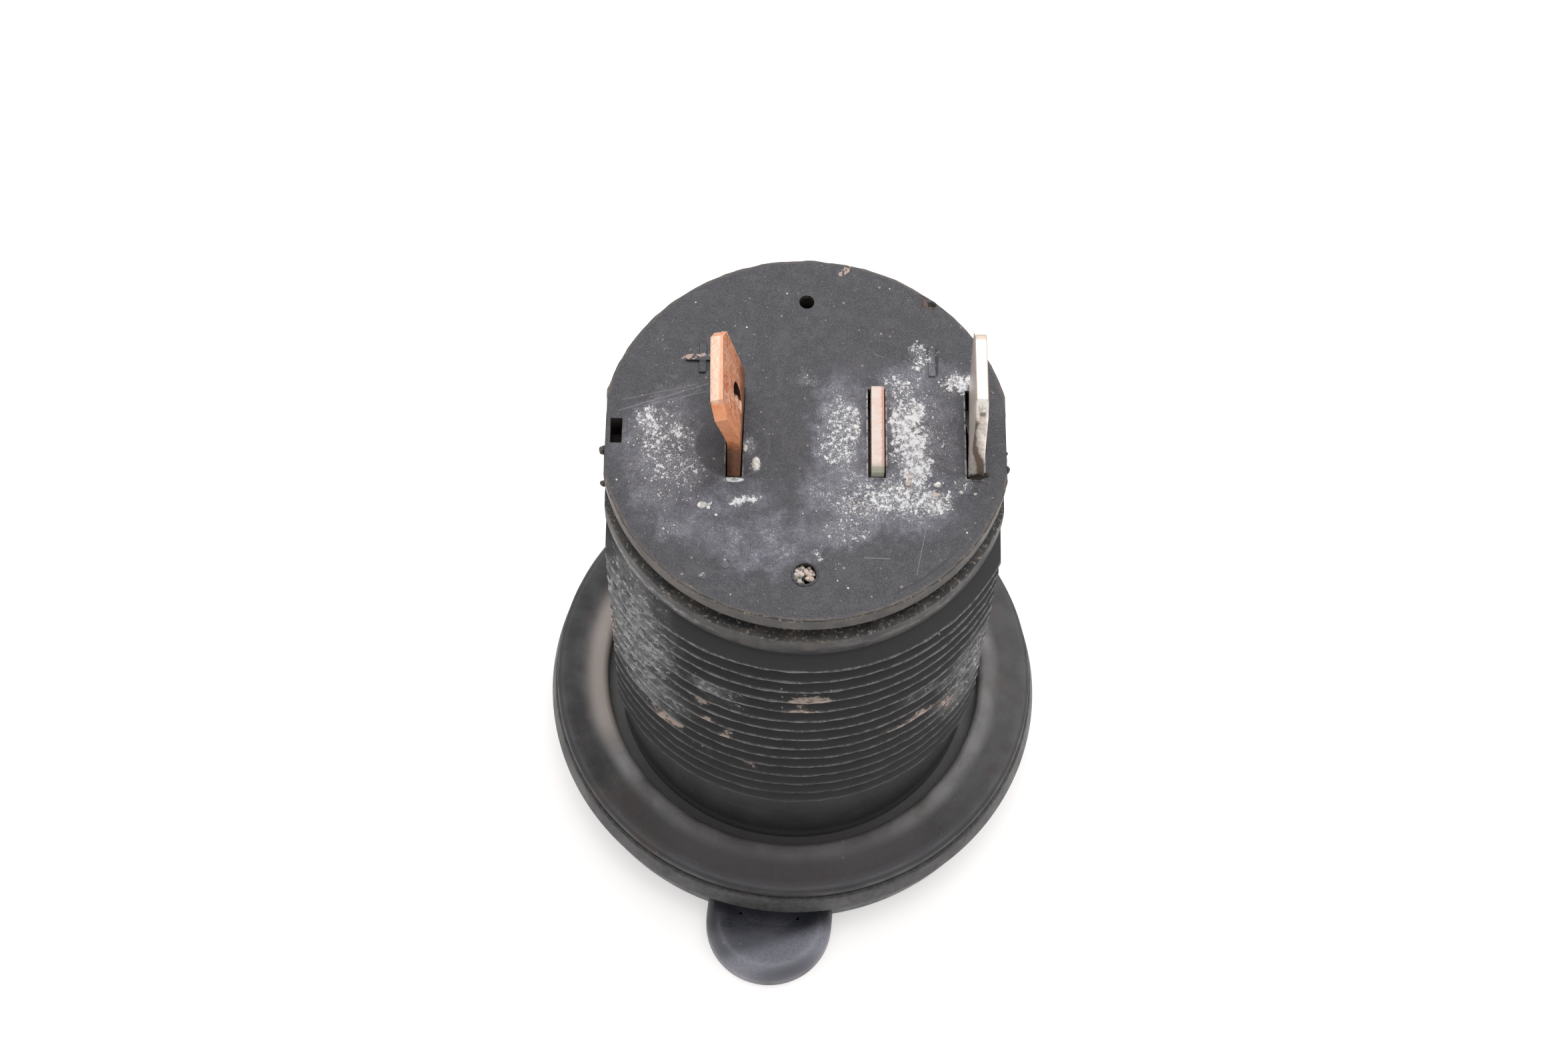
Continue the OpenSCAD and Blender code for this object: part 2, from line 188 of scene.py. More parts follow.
def evaluated(made):
    """Replace an object's mesh by what its modifiers make of it."""
    graph = bpy.context.evaluated_depsgraph_get()
    graph.update()
    mesh = bpy.data.meshes.new_from_object(made.evaluated_get(graph))
    made.modifiers.clear()
    made.data = mesh
    return made


def combine(made, others, operation):
    """Join or cut an object with others by exact booleans, and delete the others."""
    for other in others:
        step = made.modifiers.new(other.name, "BOOLEAN")
        step.operation = operation
        step.solver = "EXACT"
        step.object = other
    evaluated(made)
    for other in others:
        bpy.data.objects.remove(other)
    return made


def bevelled(made, width, segments=2, angle=35):
    """Round an object's sharp edges with a bevel modifier, and apply it."""
    step = made.modifiers.new("edges", "BEVEL")
    step.width = width
    step.segments = segments
    step.limit_method = "ANGLE"
    step.angle_limit = math.radians(angle)
    step.miter_outer = "MITER_ARC"
    return evaluated(made)


def finish(made, body, material, node=None, angle=32):
    """Scale to metres, smooth, give a piece its material and fasten it to its body."""
    made.data.transform(Matrix.Scale(MM, 4))
    made.data.polygons.foreach_set("use_smooth", [True] * len(made.data.polygons))
    made.data.set_sharp_from_angle(angle=math.radians(angle))
    made.data.materials.clear()
    made.data.materials.append(material)
    if node:
        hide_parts(node)
    if body:
        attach(made, body)
    triangles = sum(len(p.vertices) - 2 for p in made.data.polygons)
    print(made.name, "has", triangles, "triangles")
    return made


# %% [markdown]
# Materials are node trees. A small class keeps them readable: each call adds a node, links what it
# is given and hands back an output. `cover` lays a colour over another one through a mask. All
# patterns read Object coordinates in millimetres, so the numbers below are real distances.

# %% Helpers for node trees
class Graph:
    """Short calls that build a node tree."""

    def __init__(self, tree):
        self.tree = tree

    def feed(self, made, inputs):
        """Link a node's inputs to outputs, or set them to plain values."""
        for key, value in inputs.items():
            if isinstance(value, bpy.types.NodeSocket):
                self.tree.links.new(value, made.inputs[key])
            else:
                made.inputs[key].default_value = value

    def node(self, kind, inputs=None, **settings):
        made = self.tree.nodes.new(kind)
        for key, value in settings.items():
            setattr(made, key, value)
        self.feed(made, inputs or {})
        return made

    def math(self, operation, a, b=0.0, clamp=False):
        return self.node(
            "ShaderNodeMath", {0: a, 1: b}, operation=operation, use_clamp=clamp
        ).outputs[0]

    def times(self, first, *others):
        for other in others:
            first = self.math("MULTIPLY", first, other)
        return first

    def plus(self, a, b):
        return self.math("ADD", a, b)

    def minus(self, a, b):
        return self.math("SUBTRACT", a, b)

    def larger(self, a, b):
        return self.math("MAXIMUM", a, b)

    def vector(self, operation, a, b=(0.0, 0.0, 0.0)):
        made = self.node("ShaderNodeVectorMath", {0: a, 1: b}, operation=operation)
        return made.outputs["Value" if operation in ("LENGTH", "DOT_PRODUCT") else "Vector"]

    def scaled(self, vector, factor):
        made = self.node("ShaderNodeVectorMath", {0: vector, "Scale": factor}, operation="SCALE")
        return made.outputs["Vector"]

    def between(self, value, low, high, to_low=0.0, to_high=1.0):
        """Smooth step of a value from low to high."""
        return self.node(
            "ShaderNodeMapRange",
            {0: value, 1: low, 2: high, 3: to_low, 4: to_high},
            interpolation_type="SMOOTHSTEP",
            clamp=True,
        ).outputs[0]

    def noise(self, vector, scale, detail=3.0, roughness=0.55, output="Fac"):
        return self.node(
            "ShaderNodeTexNoise",
            {"Vector": vector, "Scale": scale, "Detail": detail, "Roughness": roughness},
        ).outputs[output]

    def mix(self, factor, under, over):
        """The under colour where the factor is zero, the over colour where it is one."""
        inputs = {0: factor, 6: under, 7: over}
        return self.node("ShaderNodeMix", inputs, data_type="RGBA").outputs[2]

    def cover(self, under, over, mask, amount):
        """A colour laid over another one through a mask, at a share of its strength."""
        return self.mix(self.times(mask, amount), under, over)

    def split(self, vector):
        return self.node("ShaderNodeSeparateXYZ", {0: vector}).outputs

    def join(self, x, y, z):
        return self.node("ShaderNodeCombineXYZ", {0: x, 1: y, 2: z}).outputs[0]

    def group(self, tree, inputs):
        return self.node("ShaderNodeGroup", inputs, node_tree=tree).outputs


def group_tree(name, inputs, outputs):
    """An empty shader node group with named sockets, and its graph, entry and exit."""
    tree = bpy.data.node_groups.new(name, "ShaderNodeTree")
    for label, kind in inputs:
        tree.interface.new_socket(label, in_out="INPUT", socket_type=kind)
    for label, kind in outputs:
        tree.interface.new_socket(label, in_out="OUTPUT", socket_type=kind)
    graph = Graph(tree)
    entry = graph.node("NodeGroupInput").outputs
    leave = graph.node("NodeGroupOutput").inputs
    return tree, graph, entry, leave


FLOAT = "NodeSocketFloat"
VECTOR = "NodeSocketVector"


def rgb(red, green, blue):
    """A linear colour with full alpha."""
    return (red, green, blue, 1.0)


# %% [markdown]
# Six effects come back on several pieces, so each is a group. `specks` scatters grains.
# `torn_place` shifts a place about, so that a stain read from it gets a ragged outline.
# `oval_field` fades out from the middle of an oval, and `flecks` turns such a density into crust.
# `scratch` is one thin line. `round_place` gives the radius, the turn and the height on the barrel.

# %% Group: specks
def make_specks():
    tree, g, entry, leave = group_tree(
        "specks",
        [("Vector", VECTOR), ("Scale", FLOAT), ("Size", FLOAT), ("Share", FLOAT)],
        [("Mask", FLOAT)],
    )
    spread = {"Vector": entry["Vector"], "Scale": entry["Scale"]}
    cells = g.node("ShaderNodeTexVoronoi", spread)
    chance = g.split(cells.outputs["Color"])
    size = g.times(entry["Size"], g.plus(chance[1], 0.35))
    near = g.math("DIVIDE", cells.outputs["Distance"], size)
    dot = g.between(near, 1.0, 0.6)
    kept = g.math("LESS_THAN", chance[0], entry["Share"])
    tree.links.new(g.times(dot, kept), leave["Mask"])
    return tree


SPECKS = make_specks()


# %% Group: torn place
def make_torn_place():
    tree, g, entry, leave = group_tree(
        "torn_place",
        [("Vector", VECTOR), ("Coarse", VECTOR), ("Fine", VECTOR)],
        [("Vector", VECTOR)],
    )
    place = entry["Vector"]
    for scale, reach in ((0.7, entry["Coarse"]), (2.6, entry["Fine"])):
        drift = g.noise(entry["Vector"], scale, 4.0, 0.6, "Color")
        drift = g.vector("MULTIPLY", g.vector("SUBTRACT", drift, (0.5, 0.5, 0.5)), reach)
        place = g.vector("ADD", place, drift)
    tree.links.new(place, leave["Vector"])
    return tree


TORN_PLACE = make_torn_place()


# %% Group: oval field
def make_oval_field():
    tree, g, entry, leave = group_tree(
        "oval_field",
        [("Vector", VECTOR), ("Centre", VECTOR), ("Half Size", VECTOR), ("Amount", FLOAT)],
        [("Value", FLOAT)],
    )
    offset = g.vector("SUBTRACT", entry["Vector"], entry["Centre"])
    far = g.vector("LENGTH", g.vector("DIVIDE", offset, entry["Half Size"]))
    value = g.times(g.between(far, 1.25, 0.45), entry["Amount"])
    tree.links.new(value, leave["Value"])
    return tree


OVAL_FIELD = make_oval_field()


# %% Group: flecks
def make_flecks():
    tree, g, entry, leave = group_tree(
        "flecks",
        [("Vector", VECTOR), ("Scale", FLOAT), ("Density", FLOAT)],
        [("Mask", FLOAT), ("Core", FLOAT)],
    )
    grain = g.noise(entry["Vector"], entry["Scale"], 6.0, 0.78)
    level = g.math("DIVIDE", g.minus(grain, 0.5), 0.058)
    edge = g.minus(2.1, g.times(entry["Density"], 3.6))
    edge = g.larger(edge, -1.35)
    mask = g.between(level, edge, g.plus(edge, 0.7))
    core = g.between(level, g.plus(edge, 0.3), g.plus(edge, 1.7))
    present = g.between(entry["Density"], 0.02, 0.15)
    tree.links.new(g.times(mask, present), leave["Mask"])
    tree.links.new(core, leave["Core"])
    return tree


FLECKS = make_flecks()


# %% Group: scratch
def make_scratch():
    tree, g, entry, leave = group_tree(
        "scratch",
        [("Vector", VECTOR), ("Start", VECTOR), ("Along", VECTOR), ("Width", FLOAT)],
        [("Mask", FLOAT)],
    )
    offset = g.vector("SUBTRACT", entry["Vector"], entry["Start"])
    length_sq = g.vector("DOT_PRODUCT", entry["Along"], entry["Along"])
    reach = g.vector("DOT_PRODUCT", offset, entry["Along"])
    share = g.math("DIVIDE", reach, length_sq, clamp=True)
    nearest = g.scaled(entry["Along"], share)
    away = g.vector("LENGTH", g.vector("SUBTRACT", offset, nearest))
    worn = g.times(entry["Width"], g.noise(entry["Vector"], 2.5, 3.0))
    line = g.between(g.math("DIVIDE", away, worn), 1.0, 0.3)
    tree.links.new(line, leave["Mask"])
    return tree


SCRATCH = make_scratch()


# %% Group: place on the barrel
def make_round_place():
    tree, g, _, leave = group_tree(
        "round_place",
        [],
        [("Point", VECTOR), ("Radius", FLOAT), ("Turn", FLOAT), ("Height", FLOAT)],
    )
    place = g.node("ShaderNodeTexCoord").outputs["Object"]
    point = g.scaled(place, 1 / MM)
    x, y, z = g.split(point)
    flat = g.join(x, y, 0.0)
    turn = g.times(g.math("ARCTAN2", y, x), 180 / math.pi)
    tree.links.new(point, leave["Point"])
    tree.links.new(g.vector("LENGTH", flat), leave["Radius"])
    tree.links.new(turn, leave["Turn"])
    tree.links.new(z, leave["Height"])
    return tree


ROUND_PLACE = make_round_place()
print("groups:", [tree.name for tree in bpy.data.node_groups])


# %% Start and end of a material
def empty_material(name):
    """A new material without nodes, and its graph."""
    material = bpy.data.materials.new(name)
    material.use_nodes = True
    material.node_tree.nodes.clear()
    return material, Graph(material.node_tree)


def start_material(name):
    """A new material with its graph, its shader and the place on the barrel."""
    material, g = empty_material(name)
    shader = g.node("ShaderNodeBsdfPrincipled")
    g.node("ShaderNodeOutputMaterial", {"Surface": shader.outputs[0]})
    return material, g, shader, g.group(ROUND_PLACE, {})


def end_material(g, shader, colour, roughness, height, depth, metallic=0.0):
    """Feed colour, roughness, metal and a bump of some depth to the shader."""
    bump = g.node("ShaderNodeBump", {"Height": height, "Strength": 1.0, "Distance": depth * MM})
    g.feed(shader, {"Base Color": colour, "Roughness": roughness, "Metallic": metallic})
    g.feed(shader, {"Normal": bump.outputs[0]})


def scatter(g, point, scale, size, share):
    """Mask of grains at a scale: their size, and the share of the places that has one."""
    return g.group(SPECKS, {"Vector": point, "Scale": scale, "Size": size, "Share": share})["Mask"]


def torn(g, place, coarse, fine):
    """A place with its surroundings torn about, by a coarse and a fine reach along each axis."""
    return g.group(TORN_PLACE, {"Vector": place, "Coarse": coarse, "Fine": fine})["Vector"]


# %% [markdown]
# ## Rear face
# The rear face is satin black plastic that has greyed. A bluish film lies over it in clouds, and
# chalky white residue has crept out of the slots: a loose patch at the left, an arc in front of the
# copper blade and a thick crust round the short leg. Each film and crust is a table of soft ovals.
# Their places are torn by noise, and the crust breaks into flecks where its density is low.

# %% Tables for the rear face
# centre x, centre y, half size x, half size y, amount
FILM = [
    (2.3, 0.0, 2.0, 4.6, 0.80),
    (2.8, -4.6, 3.2, 2.9, 0.75),
    (6.3, -4.8, 3.6, 2.6, 0.75),
    (-2.6, -7.8, 3.4, 2.2, 0.65),
    (-6.5, -6.0, 2.8, 2.2, 0.45),
    (-9.3, -0.8, 2.9, 3.6, 0.55),
    (-8.8, -4.2, 2.8, 2.6, 0.40),
    (6.9, 0.6, 1.9, 4.2, 0.70),
    (9.0, 0.5, 1.5, 3.4, 0.35),
    (7.4, 4.3, 3.0, 1.4, 0.45),
    (-4.0, -4.2, 2.3, 1.2, 0.40),
    (0.9, -6.8, 2.2, 1.6, 0.50),
]
CRUST = [
    (2.4, 0.3, 1.5, 3.6, 0.66),
    (-8.9, -1.2, 2.7, 3.4, 0.48),
    (4.6, -4.4, 3.4, 1.9, 0.55),
    (-9.6, -0.2, 1.6, 1.8, 0.62),
    (-8.6, -2.6, 2.0, 1.9, 0.56),
    (7.0, 0.6, 0.50, 3.0, 1.25),
    (6.3, 0.3, 1.0, 4.0, 0.78),
    (6.9, -2.6, 1.4, 1.5, 0.85),
    (8.0, 0.5, 1.5, 3.6, 0.42),
    (9.6, 3.9, 1.2, 0.8, 0.85),
    (6.2, 3.6, 1.4, 0.9, 0.60),
    (7.2, 5.7, 0.75, 1.6, 0.62),
    (5.6, -4.6, 2.9, 1.4, 0.72),
    (7.9, -4.7, 1.7, 1.3, 0.75),
    (3.2, -5.0, 1.9, 1.5, 0.55),
    (2.7, -7.0, 1.9, 1.0, 0.50),
    (-10.0, 0.9, 1.3, 1.0, 0.72),
    (-8.2, 0.1, 0.9, 1.4, 0.72),
    (-9.4, -0.9, 2.0, 2.6, 0.50),
    (-7.6, -2.6, 1.4, 2.2, 0.50),
    (-9.3, -4.3, 1.8, 1.4, 0.40),
    (-3.9, -4.75, 1.2, 0.45, 0.90),
    (-6.45, -5.2, 0.4, 0.3, 1.00),
    (0.3, 4.1, 0.7, 0.5, 0.45),
    (2.5, 1.8, 1.4, 1.8, 0.42),
    (2.4, -0.7, 1.2, 1.5, 0.55),
    (-8.3, -7.0, 1.2, 0.8, 0.42),
    (0.7, -8.5, 0.45, 0.45, 0.60),
    (3.2, 0.6, 0.35, 0.35, 0.80),
    (10.1, -3.3, 0.9, 0.8, 0.50),
    (-8.0, 3.4, 1.2, 0.7, 0.35),
]
# residue at the very foot of the copper blade, inside the calm circle round it, and on two pale rings
FOOT_CRUST = [
    (-3.15, -2.2, 0.35, 0.6, 1.0),
    (-3.6, -0.9, 0.5, 0.9, 0.6),
    (-4.55, -3.36, 0.75, 0.20, 1.1),
    (-4.93, -9.26, 0.42, 0.42, 0.42),
    (-6.36, -10.07, 0.34, 0.34, 0.45),
]
CALM_AT = (-4.7, -0.9, REAR_Z)
CALM_R = 2.35
TAN_MARKS = [(2.6, 12.5, 0.5, 0.25, 1.0), (-7.2, 5.65, 0.6, 0.25, 0.9), (6.5, -3.2, 0.3, 0.6, 0.7)]
CRUD = [(8.1, 9.9, 0.5, 0.55, 1.0), (11.0, -2.9, 0.75, 0.3, 1.0)]
# middle across, half width, amount
SLOT_LINES = [(-4.55, 0.50, 0.30), (4.51, 0.54, 0.85), (10.75, 0.53, 0.70)]
# painted shadow: dark lines beside the raised plus and minus marks; centre x, centre y, half size x,
# half size y, amount
PAINTED_MARK_SHADOWS = [(8.42, 5.5, 0.13, 1.2, 1.0), (-6.9, 5.2, 0.9, 0.12, 1.0), (-6.35, 4.9, 0.12, 0.5, 1.0)]
SCRATCHES = [
    ((-12.0, 1.5, REAR_Z), (5.7, 2.1, 0.0), 0.07),
    ((-11.3, 0.6, REAR_Z), (4.6, 2.6, 0.0), 0.05),
    ((-10.4, 1.9, REAR_Z), (3.9, 1.1, 0.0), 0.06),
    ((-11.8, 2.3, REAR_Z), (4.6, 1.2, 0.0), 0.05),
    ((3.7, -8.7, REAR_Z), (1.6, -0.05, 0.0), 0.09),
    ((7.6, -6.4, REAR_Z), (-0.65, -3.4, 0.0), 0.06),
    ((4.4, 6.0, REAR_Z), (0.6, -0.2, 0.0), 0.06),
]


ANY_DEPTH = 1000.0


def total(g, masks):
    """The largest of several masks."""
    value = masks[0]
    for mask in masks[1:]:
        value = g.larger(value, mask)
    return value


def field(g, place, rows):
    """The largest of a table of oval fields at a place, read in its first two coordinates."""
    values = []
    for x, y, half_x, half_y, amount in rows:
        oval = {"Centre": (x, y, 0.0), "Half Size": (half_x, half_y, ANY_DEPTH), "Amount": amount}
        values.append(g.group(OVAL_FIELD, {"Vector": place, **oval})["Value"])
    return total(g, values)


def near(g, value, middle, reach, core=0.0):
    """One where a value is at a middle, none farther from it than reach."""
    return g.between(g.math("ABSOLUTE", g.minus(value, middle)), reach, core)


# %% Material: rear face
CHALK = rgb(0.95, 0.95, 0.96)
CHALK_THIN = rgb(0.52, 0.52, 0.57)
FILM_COLOUR = rgb(0.38, 0.375, 0.455)
TAN = rgb(0.42, 0.30, 0.22)


def rear_face_material():
    material, g, shader, place = start_material("rear_face_plastic")
    point, radius, turn = place["Point"], place["Radius"], place["Turn"]
    haze = g.noise(point, 0.22, 4.0, 0.6)
    fine = g.noise(point, 9.0, 3.0, 0.6)
    blot = g.noise(point, 1.3, 6.0, 0.72)
    colour = g.mix(g.between(haze, 0.35, 0.65), rgb(0.028, 0.027, 0.036), rgb(0.037, 0.036, 0.045))
    colour = g.mix(g.between(blot, 0.46, 0.62, 0.0, 0.5), colour, rgb(0.080, 0.076, 0.085))
    colour = g.mix(g.between(blot, 0.44, 0.36, 0.0, 0.7), colour, rgb(0.024, 0.024, 0.029))
    grit = g.noise(point, 17.0, 3.0, 0.65)
    colour = g.mix(g.between(fine, 0.50, 0.64, 0.0, 0.55), colour, rgb(0.105, 0.100, 0.106))
    colour = g.mix(g.between(grit, 0.50, 0.64, 0.0, 0.45), colour, rgb(0.13, 0.125, 0.13))
    colour = g.mix(g.between(grit, 0.47, 0.38, 0.0, 0.55), colour, rgb(0.016, 0.016, 0.020))
    place = torn(g, point, (3.4, 3.4, 0.0), (1.2, 1.2, 0.0))
    calm_far = g.vector("LENGTH", g.vector("SUBTRACT", point, CALM_AT))
    outside = g.between(calm_far, CALM_R - 0.15, CALM_R + 0.1, 0.06, 1.0)
    # film in soft clouds
    cloud = g.between(g.noise(point, 0.8, 6.0, 0.74), 0.38, 0.60, 0.30, 1.0)
    film = g.times(field(g, place, FILM), cloud, outside)
    film = g.times(film, g.between(g.noise(point, 4.5, 5.0, 0.75), 0.44, 0.58, 0.62, 1.15))
    colour = g.cover(colour, FILM_COLOUR, film, 0.92)
    # loose grains
    white = scatter(g, point, 3.2, 0.20, 0.22)
    grains = scatter(g, point, 1.5, 0.12, 0.20)
    tan = scatter(g, point, 1.7, 0.15, 0.22)
    colour = g.cover(colour, rgb(0.40, 0.37, 0.34), white, 0.30)
    colour = g.cover(colour, TAN, tan, 0.6)
    colour = g.cover(colour, CHALK, grains, 0.7)
    # worn edge of the rim, an old moulding line and a clot of brown dirt
    ragged = g.minus(radius, g.times(g.noise(point, 1.3, 4.0), 0.8))
    edge = g.between(ragged, 12.45, 12.8)
    colour = g.cover(colour, rgb(0.19, 0.15, 0.12), edge, 0.60)
    line = g.times(near(g, radius, 12.45, 0.12, 0.03), near(g, turn, -53.0, 16.0, 8.0))
    ring = g.times(near(g, calm_far, CALM_R, 0.14, 0.03), 0.5)
    colour = g.cover(colour, rgb(0.02, 0.02, 0.02), line, 0.7)
    colour = g.cover(colour, rgb(0.16, 0.16, 0.18), ring, 0.35)
    crud = g.between(field(g, place, CRUD), 0.3, 0.7)
    colour = g.cover(colour, rgb(0.10, 0.060, 0.046), crud, 0.9)
    # painted shadow beside the raised plus and minus marks
    shade = g.between(field(g, point, PAINTED_MARK_SHADOWS), 0.2, 0.6)
    colour = g.cover(colour, rgb(0.012, 0.012, 0.013), shade, 0.85)
    # crust in flecks
    density = g.larger(g.times(field(g, place, CRUST), outside), field(g, point, FOOT_CRUST))
    veil = g.times(density, g.between(blot, 0.36, 0.56, 0.35, 1.0))
    colour = g.cover(colour, rgb(0.33, 0.325, 0.35), veil, 0.62)
    thick = g.math("MULTIPLY", g.minus(density, 0.14), 1.3, clamp=True)
    coarse = g.group(FLECKS, {"Vector": point, "Scale": 3.4, "Density": thick})
    dusting = g.larger(g.times(density, 1.02), film)
    dusty = g.group(FLECKS, {"Vector": point, "Scale": 11.0, "Density": dusting})
    chalk = g.larger(coarse["Mask"], g.times(dusty["Mask"], 0.8))
    core = g.larger(coarse["Core"], g.times(dusty["Core"], 0.8))
    colour = g.cover(colour, g.mix(core, CHALK_THIN, CHALK), chalk, 0.92)
    # chalk outlines the slots
    x, y, _ = g.split(point)
    along = g.minus(g.math("ABSOLUTE", g.minus(y, 0.2)), 3.18)
    lines = []
    for middle, half_x, amount in SLOT_LINES:
        across = g.minus(g.math("ABSOLUTE", g.minus(x, middle)), half_x)
        lines.append(g.times(near(g, g.larger(across, along), 0.05, 0.11, 0.03), amount))
    outline = g.times(total(g, lines), g.between(g.noise(point, 2.2, 4.0, 0.7), 0.42, 0.54))
    colour = g.mix(outline, colour, rgb(0.52, 0.52, 0.51))
    tan_marks = g.between(field(g, place, TAN_MARKS), 0.25, 0.6)
    colour = g.cover(colour, rgb(0.52, 0.38, 0.32), tan_marks, 0.8)
    scratches = []
    for start, reach, width in SCRATCHES:
        stroke = {"Vector": point, "Start": start, "Along": reach, "Width": width}
        scratches.append(g.group(SCRATCH, stroke)["Mask"])
    colour = g.cover(colour, rgb(0.46, 0.43, 0.47), total(g, scratches), 0.32)
    rough = g.plus(0.40, g.times(haze, 0.20))
    rough = g.math("ADD", rough, g.times(total(g, [chalk, film]), 0.35), clamp=True)
    crust = g.times(chalk, g.plus(0.4, g.noise(point, 7.0, 4.0, 0.7)))
    height = g.plus(crust, g.times(fine, 0.10))
    height = g.plus(height, g.times(grains, 0.6))
    height = g.plus(height, g.times(crud, 0.5))
    end_material(g, shader, colour, rough, height, depth=0.12)
    return material


# %% [markdown]
# ## Barrel
# The side of the barrel is darker and dirtier. The narrow crests of the thread are rubbed to a
# pale line, dust has settled in streaks at the left, and brown grime clings to the rim and the
# bead. Radius and height pick out the crest, the rim and the bead by themselves. The dust is again
# a table of ovals, this time over the turn in degrees and the height.

# %% Tables for the barrel
# turn, height, half turn, half height, amount
GREY_DUST = [
    (-148.0, 32.5, 17.0, 0.75, 0.95),
    (-130.0, 32.9, 16.0, 0.45, 0.60),
    (-143.0, 26.0, 19.0, 7.5, 0.85),
    (-131.0, 24.0, 3.0, 0.8, 0.90),
    (-144.0, 24.2, 4.0, 0.5, 0.85),
    (-116.0, 25.2, 10.0, 0.7, 0.60),
    (-111.0, 23.7, 8.0, 0.5, 0.45),
    (-140.0, 19.0, 18.0, 4.0, 0.75),
    (-55.0, 21.8, 8.0, 0.5, 0.45),
    (-43.0, 19.5, 4.0, 0.6, 0.55),
    (-35.0, 19.2, 4.0, 0.7, 0.45),
    (-33.0, 18.0, 15.0, 6.0, 0.60),
    (-132.0, 9.7, 6.0, 0.6, 0.35),
    (-58.0, 33.1, 26.0, 0.3, 0.35),
]
WARM_DUST = [
    (-144.0, 22.4, 3.0, 0.5, 0.95),
    (-136.0, 22.3, 4.0, 0.5, 0.95),
    (-120.5, 22.2, 6.0, 0.5, 1.40),
    (-100.0, 22.3, 5.0, 0.4, 1.00),
    (-86.5, 26.2, 6.0, 0.5, 1.50),
    (-88.0, 24.6, 5.0, 0.4, 0.90),
    (-87.0, 22.8, 5.0, 0.4, 0.90),
    (-93.0, 21.0, 4.0, 0.4, 0.70),
    (-115.0, 19.6, 3.5, 0.4, 0.80),
    (-109.5, 18.2, 2.5, 0.5, 1.50),
    (-107.0, 17.7, 1.5, 0.4, 0.90),
    (-58.0, 18.1, 7.0, 0.4, 1.20),
    (-41.5, 16.0, 7.0, 0.8, 1.20),
    (-48.0, 14.4, 9.0, 0.7, 1.20),
    (-129.0, 15.8, 9.0, 0.8, 1.10),
    (-129.0, 14.6, 8.0, 0.7, 1.00),
    (-118.0, 14.4, 7.0, 0.6, 0.90),
    (-103.5, 14.3, 3.0, 0.6, 1.30),
    (-160.0, 20.0, 8.0, 7.0, 0.70),
]

# %% Material: barrel
CREST_R = 14.2
RIM_LOW = REAR_Z - 1.4
BEAD_HIGH = RIM_LOW - 1.0
BEAD_LOW = BEAD_HIGH - 2.0


